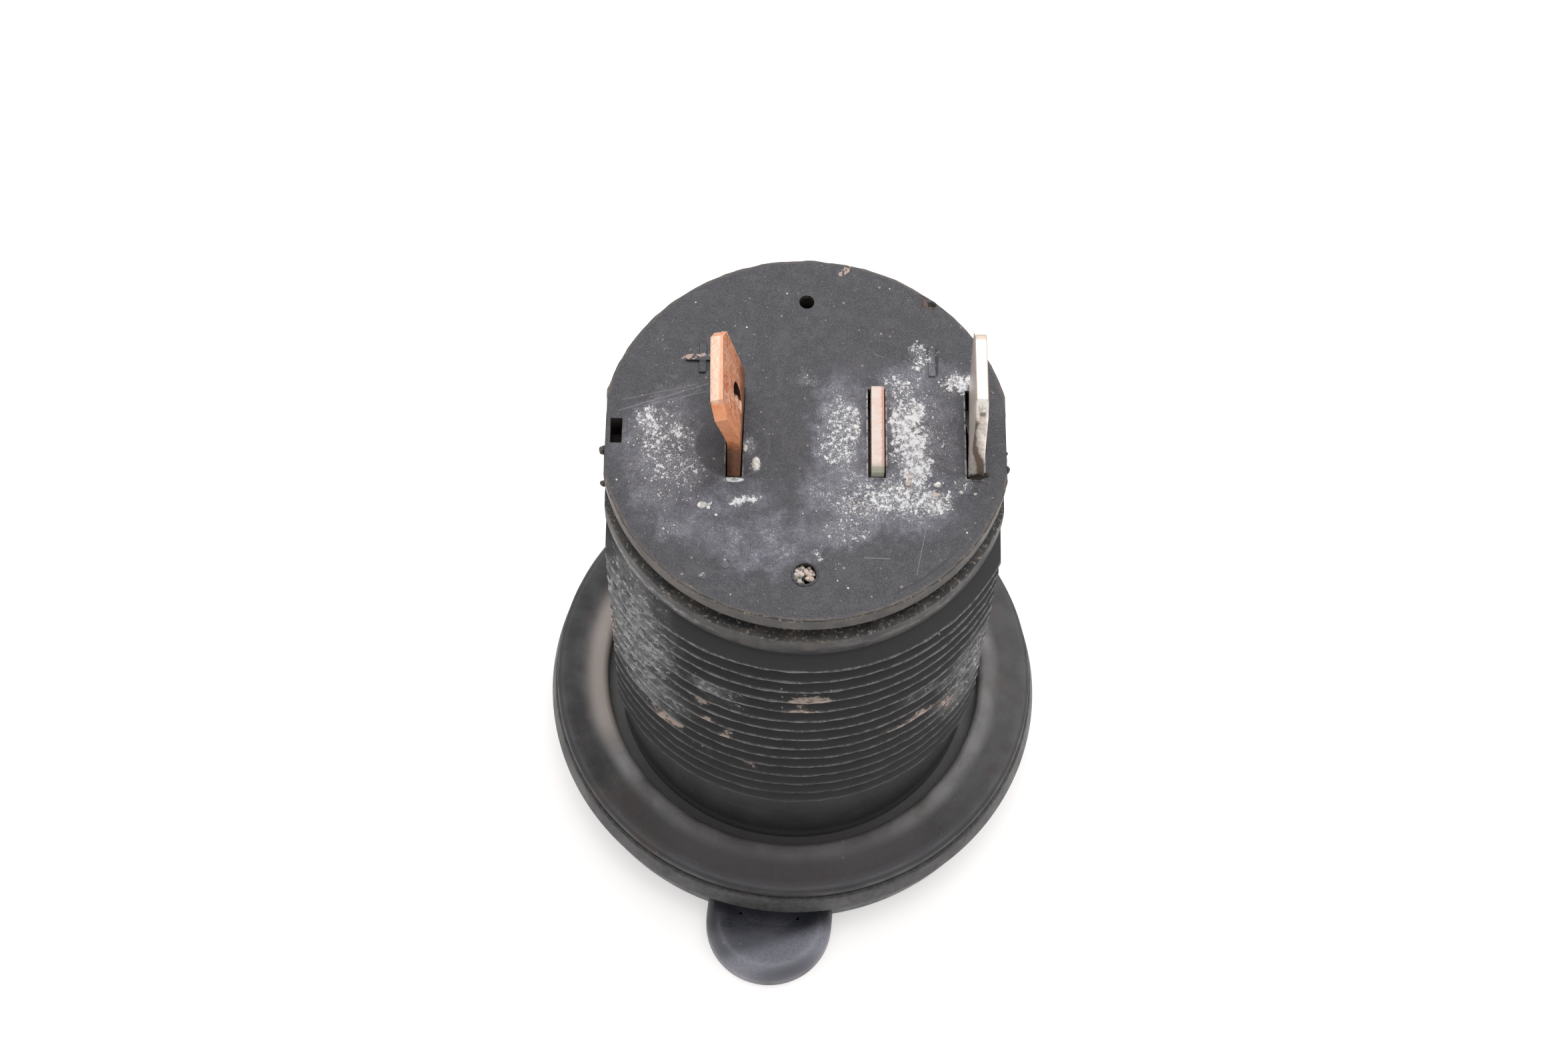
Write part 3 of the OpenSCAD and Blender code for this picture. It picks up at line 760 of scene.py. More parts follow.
def barrel_material():
    material, g, shader, place = start_material("barrel_plastic")
    point, radius, turn, height = place["Point"], place["Radius"], place["Turn"], place["Height"]
    haze = g.noise(point, 0.4, 4.0, 0.6)
    fine = g.noise(point, 7.0, 4.0, 0.65)
    colour = g.mix(haze, rgb(0.012, 0.012, 0.014), rgb(0.024, 0.024, 0.027))
    # the lower barrel is evenly grey with fine dust
    low = g.between(height, 14.0, 6.0)
    colour = g.cover(colour, rgb(0.028, 0.027, 0.028), low, 0.6)
    # rim and bead: olive brown film
    film = g.between(height, BEAD_LOW - 0.3, BEAD_LOW + 0.4)
    film = g.times(film, g.between(g.noise(point, 0.9, 4.0), 0.36, 0.60))
    colour = g.cover(colour, rgb(0.068, 0.060, 0.052), film, 0.8)
    rim = g.between(height, RIM_LOW + 0.1, RIM_LOW + 0.5)
    rim = g.times(rim, g.between(turn, -135.0, -105.0, 0.65, 0.15))
    colour = g.mix(rim, colour, rgb(0.105, 0.086, 0.072))
    # crests rubbed pale
    crest = g.between(radius, CREST_R - 0.13, CREST_R - 0.04)
    rub = g.between(g.noise(point, 1.8, 5.0, 0.75), 0.40, 0.60, 0.20, 1.0)
    crest = g.times(crest, rub, g.between(height, 9.0, 21.0, 0.22, 1.0))
    colour = g.cover(colour, rgb(0.23, 0.225, 0.215), crest, 0.8)
    # dust streaks run round the barrel, so the noise is stretched along the turn
    flat = g.join(g.times(turn, 0.1), height, radius)
    place = torn(g, flat, (14.0, 1.0, 0.0), (5.0, 0.5, 0.0))
    place = g.vector("ADD", place, g.join(g.times(turn, 0.9), 0.0, 0.0))
    drawn = g.join(g.times(turn, 0.11), g.times(height, 1.3), g.times(radius, 0.8))
    streak = g.noise(drawn, 1.2, 6.0, 0.75)
    grey = field(g, place, GREY_DUST)
    warm = field(g, place, WARM_DUST)
    for amount, share, thin, thick in (
        (grey, 0.62, rgb(0.30, 0.297, 0.30), rgb(0.52, 0.515, 0.52)),
        (warm, 0.95, rgb(0.20, 0.175, 0.160), rgb(0.62, 0.50, 0.43)),
    ):
        grain = g.group(FLECKS, {"Vector": drawn, "Scale": 4.2, "Density": g.times(amount, share)})
        soft = g.math("MULTIPLY", amount, g.between(streak, 0.38, 0.60, 0.40, 1.0), clamp=True)
        colour = g.mix(soft, colour, thin)
        colour = g.cover(colour, thick, grain["Mask"], 0.75)
    dust = g.larger(grey, warm)
    # the bead's upper edge and the groove hold tan grains
    ledge = near(g, height, BEAD_HIGH - 0.05, 0.30, 0.05)
    rim_edge = near(g, height, REAR_Z - 0.1, 0.30, 0.05)
    grains = g.between(g.noise(point, 3.6, 5.0, 0.75), 0.555, 0.62)
    dotted = g.times(g.larger(ledge, rim_edge), grains)
    colour = g.cover(colour, rgb(0.36, 0.30, 0.24), dotted, 0.65)
    # painted light: the foot of the barrel by the ring is lightened, lifting the shade in the gap
    foot = g.between(height, 0.4, -0.6)
    foot = g.times(foot, g.between(radius, 18.0, 14.6, 0.0, 0.8))
    colour = g.mix(foot, colour, rgb(0.09, 0.085, 0.083))
    # a pale bracket near the flange
    bar = g.times(near(g, height, 8.5, 0.30, 0.05), near(g, turn, -72.0, 12.5, 10.5))
    colour = g.cover(colour, rgb(0.20, 0.20, 0.21), bar, 0.5)
    specks = scatter(g, point, 1.6, 0.12, 0.16)
    specks = g.times(specks, g.between(height, 12.0, 26.0))
    colour = g.cover(colour, rgb(0.45, 0.42, 0.38), specks, 0.6)
    rough = g.between(g.plus(haze, dust), 0.2, 1.2, 0.40, 0.85)
    bump = g.plus(g.times(fine, 0.35), g.times(dust, 0.4))
    end_material(g, shader, colour, rough, bump, depth=0.07)
    return material


# %% [markdown]
# ## Rubber
# The seal ring, the strap and the cap are one dull black rubber. The ring is lighter at the right,
# partly dust and partly painted sheen, and dark with brown patches at the left. Its pale inner edge
# is partly dust and partly painted light that lifts the shade beside the barrel, and a painted
# highlight runs along its outer lip. The pull tab was handled, so it is smoother and catches the
# light; a pale band across it is a painted highlight, and its root under the flange is left dark as
# painted shadow.

# %% Material: rubber of the ring
def ring_rubber_material():
    material, g, shader, place = start_material("ring_rubber")
    point, radius, turn = place["Point"], place["Radius"], place["Turn"]
    haze = g.noise(point, 0.16, 3.0, 0.55)
    fine = g.noise(point, 5.0, 4.0, 0.6)
    colour = g.mix(g.between(haze, 0.35, 0.65), rgb(0.017, 0.017, 0.018), rgb(0.034, 0.034, 0.037))
    # the right of the ring's top is lighter: partly dust, partly painted sheen where the light from
    # the right and back falls
    right = near(g, turn, -5.0, 62.0, 10.0)
    top = g.between(radius, 17.9, 17.6)
    dusty = g.times(right, top, g.between(haze, 0.2, 0.6, 0.5, 1.0))
    colour = g.cover(colour, rgb(0.085, 0.079, 0.081), dusty, 0.75)
    brown_marks = g.between(g.noise(point, 0.23, 4.0, 0.6), 0.52, 0.66)
    colour = g.cover(colour, rgb(0.060, 0.034, 0.026), brown_marks, 0.5)
    # the pale inner edge is partly dust and partly painted light that lifts the shade beside the
    # barrel
    wide = g.between(g.noise(point, 0.3, 3.0), 0.35, 0.65)
    inner = g.times(g.between(radius, 15.9, 14.9), g.plus(0.35, g.times(wide, 0.6)))
    colour = g.mix(inner, colour, rgb(0.24, 0.232, 0.23))
    front = g.times(near(g, turn, -90.0, 60.0, 20.0), top)
    colour = g.cover(colour, rgb(0.086, 0.077, 0.080), front, 0.7)
    # painted highlight: a pale bluish line along the ring's rounded outer lip
    lip_highlight = g.times(near(g, radius, 17.65, 0.30, 0.05), 0.4)
    colour = g.mix(lip_highlight, colour, rgb(0.070, 0.070, 0.082))
    left = near(g, g.math("ABSOLUTE", turn), 172.0, 24.0, 8.0)
    left = g.times(left, g.between(radius, 16.4, 14.6))
    colour = g.cover(colour, rgb(0.36, 0.31, 0.28), left, 0.9)
    specks = scatter(g, point, 0.8, 0.12, 0.08)
    colour = g.cover(colour, rgb(0.25, 0.22, 0.20), specks, 0.3)
    rough = g.between(g.noise(point, 0.6, 4.0), 0.35, 0.65, 0.42, 0.60)
    end_material(g, shader, colour, rough, fine, depth=0.02)
    return material


# %% Material: rubber of the cap
def cap_rubber_material():
    material, g, shader, place = start_material("cap_rubber")
    point = place["Point"]
    x, y, _ = g.split(point)
    haze = g.noise(point, 0.16, 3.0, 0.55)
    fine = g.noise(point, 5.0, 4.0, 0.6)
    colour = g.mix(g.between(haze, 0.35, 0.65), rgb(0.022, 0.023, 0.028), rgb(0.034, 0.035, 0.044))
    # the handled tab is greyer, its root under the flange is left dark as painted shadow, and a pale
    # band across it is a painted highlight
    tab_past_shadow = g.between(y, -18.7, -20.2)
    colour = g.cover(colour, rgb(0.115, 0.115, 0.14), tab_past_shadow, 0.8)
    slant = g.plus(y, g.times(x, -0.35))
    # painted highlight: the pale slanting band across the tab
    band = g.times(near(g, slant, -20.8, 1.7, 0.3), g.between(fine, 0.3, 0.6, 0.6, 1.0))
    colour = g.cover(colour, rgb(0.30, 0.30, 0.35), band, 0.7)
    specks = scatter(g, point, 0.8, 0.12, 0.10)
    colour = g.cover(colour, rgb(0.26, 0.23, 0.21), specks, 0.35)
    rough = g.between(g.noise(point, 0.6, 4.0), 0.35, 0.65, 0.26, 0.42)
    end_material(g, shader, colour, rough, fine, depth=0.02)
    return material


# %% [markdown]
# ## Metals
# The contact strap is bare copper, salmon on its faces, pale on the rubbed near edge and dark brown
# at its foot; pale flecks and the pale top of its tip are painted highlights, and the inside of its
# hole is painted shade. The shell and its blade are tinned, with a wavy brown band, a painted
# highlight along the blade's tip, and a near-black foot that is crud at the rear face and painted
# shade down in the slot. Old metal like this scatters as much light as it mirrors, so it is only
# partly metallic.

# %% Material: copper
EYE_AT = (-4.8, 0.2, REAR_Z + 4.4)
EYE_LUMP_AT = (-4.72, -0.15, REAR_Z + 3.85)


def copper_material():
    material, g, shader, place = start_material("worn_copper")
    point, height = place["Point"], place["Height"]
    x, y, _ = g.split(point)
    drag = g.noise(point, 4.0, 5.0, 0.7)
    mottle = g.noise(point, 0.9, 5.0, 0.6)
    colour = g.mix(g.between(mottle, 0.42, 0.58), rgb(0.97, 0.48, 0.285), rgb(0.80, 0.26, 0.115))
    # painted highlights: pale flecks where the copper would glint
    colour = g.mix(g.between(drag, 0.54, 0.60, 0.0, 0.7), colour, rgb(0.95, 0.70, 0.56))
    colour = g.mix(g.between(drag, 0.45, 0.38, 0.0, 0.8), colour, rgb(0.30, 0.09, 0.04))
    # the near edge is rubbed to a peach colour
    near_edge = g.times(g.between(y, -2.2, -2.5), g.between(height, REAR_Z + 4.6, REAR_Z + 5.8))
    colour = g.cover(colour, rgb(0.95, 0.60, 0.42), near_edge, 0.6)
    light = scatter(g, point, 2.2, 0.16, 0.34)
    colour = g.cover(colour, rgb(0.96, 0.80, 0.69), light, 0.6)
    # below the cut corner the edge is a deep orange
    below = g.times(g.between(y, -1.2, -2.1), near(g, height, REAR_Z + 6.2, 3.4, 2.4))
    colour = g.cover(colour, rgb(0.84, 0.31, 0.13), below, 0.65)
    far = g.between(y, -0.2, 2.2)
    colour = g.cover(colour, rgb(0.60, 0.22, 0.11), far, 0.3)
    foot = g.between(g.plus(height, g.times(mottle, -2.0)), REAR_Z + 3.5, REAR_Z + 1.9)
    foot_colour = g.mix(g.between(x, -4.85, -4.45), rgb(0.045, 0.020, 0.013), rgb(0.17, 0.080, 0.046))
    colour = g.cover(colour, foot_colour, foot, 0.92)
    # painted highlight: the tip's top edge is painted pale peach
    tip = g.between(height, BLADE_TOP - 0.35, BLADE_TOP - 0.15)
    tip_colour = g.mix(near(g, x, -5.78, 0.36, 0.22), rgb(0.80, 0.42, 0.28), rgb(0.87, 0.64, 0.50))
    colour = g.cover(colour, tip_colour, tip, 0.9)
    eye_far = g.vector("SUBTRACT", point, EYE_AT)
    eye_far = g.vector("LENGTH", g.vector("MULTIPLY", eye_far, (0.0, 1.0, 1.0)))
    lump_far = g.vector("SUBTRACT", point, EYE_LUMP_AT)
    lump_far = g.vector("LENGTH", g.vector("MULTIPLY", lump_far, (0.6, 1.2, 1.0)))
    # painted shade: the inside of the blade's hole is painted near black
    hole = g.times(g.between(eye_far, 0.90, 0.86), g.between(lump_far, 0.66, 0.80))
    bright = g.times(g.between(lump_far, 0.85, 0.5), g.between(drag, 0.36, 0.52, 0.3, 1.0))
    colour = g.cover(colour, rgb(0.95, 0.60, 0.42), bright, 0.75)
    colour = g.mix(hole, colour, rgb(0.022, 0.012, 0.009))
    # the short leg is filmed over in pinkish cream, reddish at its right, green at its near end
    stub = g.between(x, 0.0, 1.0)
    film = g.mix(g.between(mottle, 0.42, 0.58), rgb(0.79, 0.70, 0.64), rgb(0.80, 0.62, 0.55))
    reddish = g.between(g.plus(x, g.times(drag, 0.3)), 4.86, 5.02)
    film = g.cover(film, rgb(0.50, 0.20, 0.14), reddish, 0.7)
    green = g.between(g.plus(y, mottle), -1.7, -2.3)
    film = g.cover(film, rgb(0.30, 0.36, 0.27), green, 0.75)
    colour = g.mix(stub, colour, film)
    dull = g.larger(foot, g.larger(stub, hole))
    metal = g.between(dull, 0.0, 1.0, 0.35, 0.0)
    metal = g.larger(metal, g.times(tip, 0.9, g.minus(1.0, stub)))
    rough = g.between(g.plus(drag, g.times(foot, 0.6)), 0.3, 1.1, 0.34, 0.62)
    bump = g.plus(mottle, g.times(drag, 0.9))
    shader.inputs["Specular IOR Level"].default_value = 0.12
    end_material(g, shader, colour, rough, bump, depth=0.08, metallic=metal)
    return material


# %% Material: tin
def tin_material():
    material, g, shader, place = start_material("stained_tin")
    point, height = place["Point"], place["Height"]
    mottle = g.noise(point, 2.3, 5.0, 0.65)
    streak = g.noise(g.vector("MULTIPLY", point, (1.0, 1.0, 0.4)), 1.3, 5.0, 0.6)
    colour = g.mix(g.between(mottle, 0.40, 0.60), rgb(0.89, 0.79, 0.70), rgb(0.95, 0.90, 0.83))
    x, y, _ = g.split(point)
    # a wavy brown band winds down the near edge
    corner = g.minus(10.45, g.times(g.minus(height, REAR_Z), 0.033))
    wave = g.times(near(g, height, REAR_Z + 7.0, 1.9), 0.30)
    wave = g.plus(wave, g.between(height, REAR_Z + 4.2, REAR_Z + 1.5, -0.17, 0.55))
    side = g.minus(g.minus(x, corner), wave)
    side = g.plus(side, g.times(g.minus(streak, 0.5), 0.6))
    brown_marks = near(g, side, 0.0, 0.32, 0.15)
    brown_marks = g.times(brown_marks, g.between(height, BLADE_TOP - 0.8, BLADE_TOP - 1.4))
    brown_marks = g.times(brown_marks, g.between(y, -2.0, -2.5, 0.15, 1.0))
    brown_marks = g.larger(brown_marks, g.times(g.between(streak, 0.55, 0.62), 0.4))
    brown_marks = g.times(brown_marks, g.between(height, REAR_Z - 3, REAR_Z - 2, 0.35, 1.0))
    colour = g.cover(colour, rgb(0.115, 0.068, 0.038), brown_marks, 0.9)
    # near-black foot: crud at the rear face, painted shade down in the slot
    foot = g.between(g.plus(height, g.times(mottle, -2.0)), REAR_Z - 0.2, REAR_Z - 0.8)
    foot = g.times(foot, g.between(height, REAR_Z - 2.4, REAR_Z - 1.0))
    colour = g.mix(foot, colour, rgb(0.030, 0.025, 0.020))
    upper = near(g, height, BLADE_TOP - 0.35, 0.14, 0.06)
    lower = near(g, height, BLADE_TOP - 0.68, 0.13, 0.05)
    bars = g.times(g.larger(upper, lower), near(g, x, 10.62, 0.26, 0.12))
    bars = g.times(bars, g.between(y, -1.9, -2.1))
    colour = g.cover(colour, rgb(0.14, 0.12, 0.10), bars, 0.75)
    # painted highlight: the middle of the tip's top edge is painted near white
    tip = g.between(height, BLADE_TOP - 0.25, BLADE_TOP - 0.05)
    tip_colour = g.mix(near(g, x, 10.565, 0.34, 0.27), rgb(0.62, 0.50, 0.41), rgb(0.93, 0.90, 0.86))
    tip_colour = g.mix(g.between(y, 2.45, 2.75), tip_colour, rgb(0.56, 0.46, 0.39))
    colour = g.mix(tip, colour, tip_colour)
    dull = g.math("ADD", g.times(brown_marks, 0.5), g.times(foot, 0.6), clamp=True)
    metal = g.between(dull, 0.0, 1.0, 0.6, 0.1)
    rough = g.between(dull, 0.0, 1.0, 0.34, 0.75)
    end_material(g, shader, colour, rough, mottle, depth=0.04, metallic=metal)
    return material


# %% Material: residue crumbs
def crumb_material():
    """Chalk whose tint is stored on the crumbs: 0 is white, 1 is tan, 2 is dark dirt."""
    material, g, shader, place = start_material("chalk_crumbs")
    point = place["Point"]
    tint = g.node("ShaderNodeAttribute", attribute_name="tint").outputs["Fac"]
    mottle = g.noise(point, 3.0, 3.0, 0.6)
    colour = g.mix(tint, rgb(0.88, 0.87, 0.84), rgb(0.56, 0.43, 0.36))
    colour = g.mix(g.between(mottle, 0.45, 0.62), colour, rgb(0.50, 0.47, 0.43))
    colour = g.mix(g.between(tint, 1.1, 1.9), colour, rgb(0.035, 0.028, 0.022))
    rough = g.between(mottle, 0.0, 1.0, 0.8, 0.95)
    end_material(g, shader, colour, rough, mottle, depth=0.05)
    return material


REAR_FACE = rear_face_material()
BARREL = barrel_material()
SEAL_RUBBER = ring_rubber_material()
CAP_RUBBER = cap_rubber_material()
COPPER = copper_material()
TIN = tin_material()
CRUMBS = crumb_material()
print("materials:", [m.name for m in bpy.data.materials])

# %% [markdown]
# ## Housing
# The real housing is one moulding: a threaded barrel with two flats, a flange and a closed rear
# wall. A lathe section gives the barrel with all its ridges. In the photograph the ridges lie level,
# so they are left as rings. Noise then wears each narrow crest a little, so that no line is perfect.

# %% Barrel section
ROOT_R = 13.2
THREAD_PITCH = 1.6
RIDGES = 15
FIRST_CREST = REAR_Z - 5.47
CREST_LAND = 0.10
RIDGE_HALF = CREST_LAND / 2 + (CREST_R - ROOT_R) * math.tan(math.radians(30))
RIM_R = 13.14
RIM_EDGE = 0.12
GROOVE_R = 12.6
BEAD_R = 13.4
EDGE = 0.22
FLAT_X = 12.76
THREAD_TOP = FIRST_CREST + RIDGE_HALF
FLANGE_BACK = -1.2


def barrel_section():
    """Radius and height round the outside of the barrel, from the rear centre down."""
    points = [(0.0, REAR_Z), (11.5, REAR_Z)]
    points += arc(RIM_R - RIM_EDGE, REAR_Z - RIM_EDGE, RIM_EDGE, 90, 0)
    points += arc(RIM_R - EDGE, RIM_LOW + EDGE, EDGE, 0, -60, 3)
    points += [(GROOVE_R, RIM_LOW), (GROOVE_R, BEAD_HIGH)]
    points += arc(BEAD_R - EDGE, BEAD_HIGH - EDGE, EDGE, 80, 0)
    points += arc(BEAD_R - EDGE, BEAD_LOW + EDGE, EDGE, 0, -80)
    points.append((ROOT_R - 0.1, BEAD_LOW - 0.05))
    for i in range(RIDGES):
        z = FIRST_CREST - i * THREAD_PITCH
        points += [
            (ROOT_R, z + RIDGE_HALF),
            ((ROOT_R + CREST_R) / 2, z + (RIDGE_HALF + CREST_LAND / 2) / 2),
            (CREST_R, z + CREST_LAND / 2),
            (CREST_R, z - CREST_LAND / 2),
            (ROOT_R, z - RIDGE_HALF),
        ]
    points += [(ROOT_R, FLANGE_BACK - 0.4), (0.0, FLANGE_BACK - 0.4)]
    return points


def wear_crests(verts):
    """Make the crests of the thread a little uneven."""
    for v in verts:
        if v.co.z < THREAD_TOP and CREST_R - 0.01 < math.hypot(v.co.x, v.co.y) < CREST_R + 0.01:
            worn = 0.06 * noise.noise(v.co * 0.9) - 0.02 + 0.04 * noise.noise(v.co * 4.0)
            v.co.x *= 1 + worn / CREST_R
            v.co.y *= 1 + worn / CREST_R
            v.co.z += 0.06 * noise.noise(v.co * 0.5)


# %% [markdown]
# The flats are cut with `bisect_plane`, which also drops the part outside the plane, and the open
# outline that it leaves is filled. The flange is a second turned solid, joined by a boolean.

# %% Barrel and flange
def cut_flat(bm, side):
    """Cut the barrel at one flat and close the cut."""
    found = bmesh.ops.bisect_plane(
        bm,
        geom=bm.verts[:] + bm.edges[:] + bm.faces[:],
        plane_co=(side * FLAT_X, 0, 0),
        plane_no=(side, 0, 0),
        clear_outer=True,
    )
    edges = [g for g in found["geom_cut"] if isinstance(g, bmesh.types.BMEdge)]
    bmesh.ops.holes_fill(bm, edges=edges, sides=0)


def make_barrel():
    bm = bmesh.new()
    wear_crests(turned(bm, barrel_section()))
    for side in (1, -1):
        cut_flat(bm, side)
    roughen_rim(bm)
    return to_object(bm, "housing_moulding")


def roughen_rim(bm):
    """Nibble the rim's edge, which is knocked and worn on the real part."""
    for v in bm.verts:
        radius = math.hypot(v.co.x, v.co.y)
        if v.co.z > RIM_LOW + 0.3 and radius > RIM_R - 0.3:
            bite = 0.06 * noise.noise(v.co * 1.3) + 0.05 * noise.noise(v.co * 3.1)
            v.co.x *= 1 + bite / RIM_R
            v.co.y *= 1 + bite / RIM_R


def make_flange():
    bm = bmesh.new()
    rear_r = FLANGE_R - 0.3
    section = [(0.0, FLANGE_FRONT)]
    section += arc(FLANGE_R - EDGE, FLANGE_FRONT + EDGE, EDGE, -90, 0)
    section += arc(rear_r - EDGE, FLANGE_BACK - EDGE, EDGE, 5, 90)
    section.append((0.0, FLANGE_BACK))
    turned(bm, section)
    return to_object(bm, "flange_form")


# %% [markdown]
# The openings are cutters: the bore for the shell, the slots, the two round holes and the pocket
# beside the left flat. A slot's cutter flares at the top, which gives the slot the soft, slightly
# broken edge of the real one.

# %% Cutters for the openings
BORE_R = 11.5
LIP_R = 12.5
LIP_DEEP = 0.75
REAR_INSIDE = REAR_Z - 2.5
BLADE_HALF = 3.15
BLADE_Y = 0.2
SLOT_GAP = 0.10
LEG_X = 4.55
EARTH_SLOT_IN = 10.22
EARTH_SLOT_OUT = 11.45
POCKET_OUT = -12.45
POCKET_IN = -11.72
POCKET_HALF = 0.88
POCKET_DEEP = 2.2
HOLE_Y = 9.9
FRONT_HOLE_R = 0.72
BACK_HOLE_R = 0.50
FLARE = 0.03


def make_bore():
    bm = bmesh.new()
    turned(
        bm,
        [
            (0.0, FLANGE_FRONT - 1),
            (LIP_R, FLANGE_FRONT - 1),
            (LIP_R, FLANGE_FRONT + LIP_DEEP),
            (BORE_R, FLANGE_FRONT + LIP_DEEP),
            (BORE_R, REAR_INSIDE),
            (0.0, REAR_INSIDE),
        ],
    )
    return to_object(bm, "bore_cutter")


def slot_cutter(bm, low, high, half_y, z_low, mid_y=BLADE_Y):
    """A box through the rear wall whose top flares out at the surface."""
    outline = [
        (low, mid_y - half_y, z_low),
        (high, mid_y - half_y, z_low),
        (high, mid_y + half_y, z_low),
        (low, mid_y + half_y, z_low),
    ]
    top = plate(bm, outline, REAR_Z - FLARE - z_low, (0, 0, 1))
    ring = {f for v in top for f in v.link_faces if all(w in top for w in f.verts)}
    grown = bmesh.ops.extrude_face_region(bm, geom=list(ring))
    verts = [g for g in grown["geom"] if isinstance(g, bmesh.types.BMVert)]
    centre = Vector(((low + high) / 2, mid_y, 0))
    wide = (high - low + 4 * FLARE) / (high - low)
    long = (half_y + 2 * FLARE) / half_y
    bmesh.ops.translate(bm, vec=-centre, verts=verts)
    bmesh.ops.scale(bm, vec=(wide, long, 1), verts=verts)
    bmesh.ops.translate(bm, vec=centre + Vector((0, 0, 2 * FLARE)), verts=verts)
    bmesh.ops.delete(bm, geom=list(ring), context="FACES_ONLY")


def make_openings():
    bm = bmesh.new()
    below = REAR_INSIDE - 0.5
    half = 0.4 + SLOT_GAP
    slot_cutter(bm, -LEG_X - half, -LEG_X + half, BLADE_HALF + 0.12, below, BLADE_Y - 0.08)
    # the copper blade's slot is wider at the back
    for v in bm.verts:
        if v.co.x > -LEG_X and v.co.y > 1.0:
            v.co.x += 0.12
    slot_cutter(bm, LEG_X - half - 0.08, LEG_X + half, BLADE_HALF + 0.06, below)
    slot_cutter(bm, EARTH_SLOT_IN, EARTH_SLOT_OUT + SLOT_GAP, BLADE_HALF + 0.04, below)
    # the pale blade's slot closes up to the blade at the surface
    for v in bm.verts:
        if v.co.x > EARTH_SLOT_OUT and v.co.z > REAR_Z - 0.5:
            v.co.x -= 0.28
    slot_cutter(bm, POCKET_OUT, POCKET_IN, POCKET_HALF, REAR_Z - POCKET_DEEP, 0.05)
    for y, radius in ((-HOLE_Y, FRONT_HOLE_R), (HOLE_Y, BACK_HOLE_R)):
        made = bmesh.ops.create_cone(
            bm,
            cap_ends=True,
            segments=32,
            radius1=radius,
            radius2=radius,
            depth=5,
            matrix=Matrix.Translation((0, y, REAR_INSIDE + 2)),
        )
        for v in made["verts"]:
            swell = 1 + 0.10 * noise.noise(v.co * 1.1)
            v.co.x *= swell
            v.co.y = y + (v.co.y - y) * swell
    return to_object(bm, "opening_cutter")


# %% [markdown]
# Little proud details sit on the rear face: a plus and a minus mark, a lip of flash round the
# front hole, two ejector rings, and a few nibs of flash on the edge. They are the same plastic and
# ride on the same body, but stay meshes of their own, half sunk in the housing.

# %% Proud details
PLUS_AT = (-6.7, 5.5)
MINUS_AT = (8.1, 5.5)
MARK_HALF = 1.1
MARK_STROKE = 0.22
MARK_PROUD = 0.14
# x, y, radius and thickness of the lip round the front hole and of the two ejector rings
HOOPS = [(0.0, -HOLE_Y, 0.80, 0.08), (-4.93, -9.26, 0.30, 0.07), (-6.36, -10.07, 0.26, 0.05)]
# x, y, z, size
NIBS = [
    (-12.86, -1.1, 36.0, 0.30),
    (-12.80, -3.3, 35.6, 0.20),
    (-12.76, -0.8, 35.7, 0.18),
    (12.80, -1.9, 35.8, 0.26),
    (12.78, -0.8, 35.9, 0.14),
    (9.4, 8.9, 36.1, 0.20),
    (7.2, 10.8, 36.1, 0.16),
    (-8.9, 9.4, 36.0, 0.14),
]


def proud(bm, at, corners):
    """A low form that stands proud of the rear face, from its corners round a place."""
    outline = [(at[0] + x, at[1] + y, REAR_Z - 0.2) for x, y in corners]
    plate(bm, outline, 0.2 + MARK_PROUD, (0, 0, 1))


def hoop(bm, x, y, radius, thick):
    """A low ring of flash half sunk in the rear face."""
    turns = [a * math.tau / 8 for a in range(8)]
    section = [(radius + thick * math.cos(a), thick * math.sin(a)) for a in turns]
    verts = turned(bm, section, steps=40)
    for v in verts:
        v.co.z += 0.35 * thick * noise.noise(v.co * 2.0)
    bmesh.ops.translate(bm, vec=(x, y, REAR_Z), verts=verts)


def make_marks():
    bm = bmesh.new()
    wide, thin = MARK_HALF, MARK_STROKE
    arm = [(thin, thin), (wide, thin), (wide, -thin)]
    cross = []
    for quarter in range(4):
        turn = Matrix.Rotation(-quarter * math.pi / 2, 2)
        cross += [tuple(turn @ Vector(corner)) for corner in arm]
    proud(bm, PLUS_AT, cross)
    proud(bm, MINUS_AT, [(-thin, -wide), (thin, -wide), (thin, wide), (-thin, wide)])
    for x, y, radius, thick in HOOPS:
        hoop(bm, x, y, radius, thick)
    return to_object(bm, "proud_marks")


def make_nibs():
    bm = bmesh.new()
    draw = random.Random(12)
    for x, y, z, size in NIBS:
        place = Matrix.Translation((x, y, z))
        made = bmesh.ops.create_icosphere(bm, subdivisions=2, radius=size, matrix=place)
        for v in made["verts"]:
            v.co += 0.35 * size * noise.noise_vector(v.co * 3.0 + Vector((draw.random(), 0, 0)))
    return to_object(bm, "flash_nibs")


# %% Join and cut the housing
housing = make_barrel()
combine(housing, [make_flange()], "UNION")
combine(housing, [make_bore()], "DIFFERENCE")
combine(housing, [make_openings()], "DIFFERENCE")
finish(housing, "socket", BARREL, "housing")
housing.data.materials.append(REAR_FACE)
for face in housing.data.polygons:
    if face.center.z > (REAR_Z - 0.05) * MM and face.normal.z > 0.9:
        face.material_index = 1
finish(bevelled(make_marks(), 0.04, 1), "socket", REAR_FACE)
finish(make_nibs(), "socket", BARREL)

# %% [markdown]
# ## Contact strap
# The copper strap is sheet bent to a U. It starts as a line of points along its middle, is drawn
# out to its width, and gets its thickness last. The tips' corners are cut with `bisect_plane`, and
# a fine bevel rounds the stamped edges.

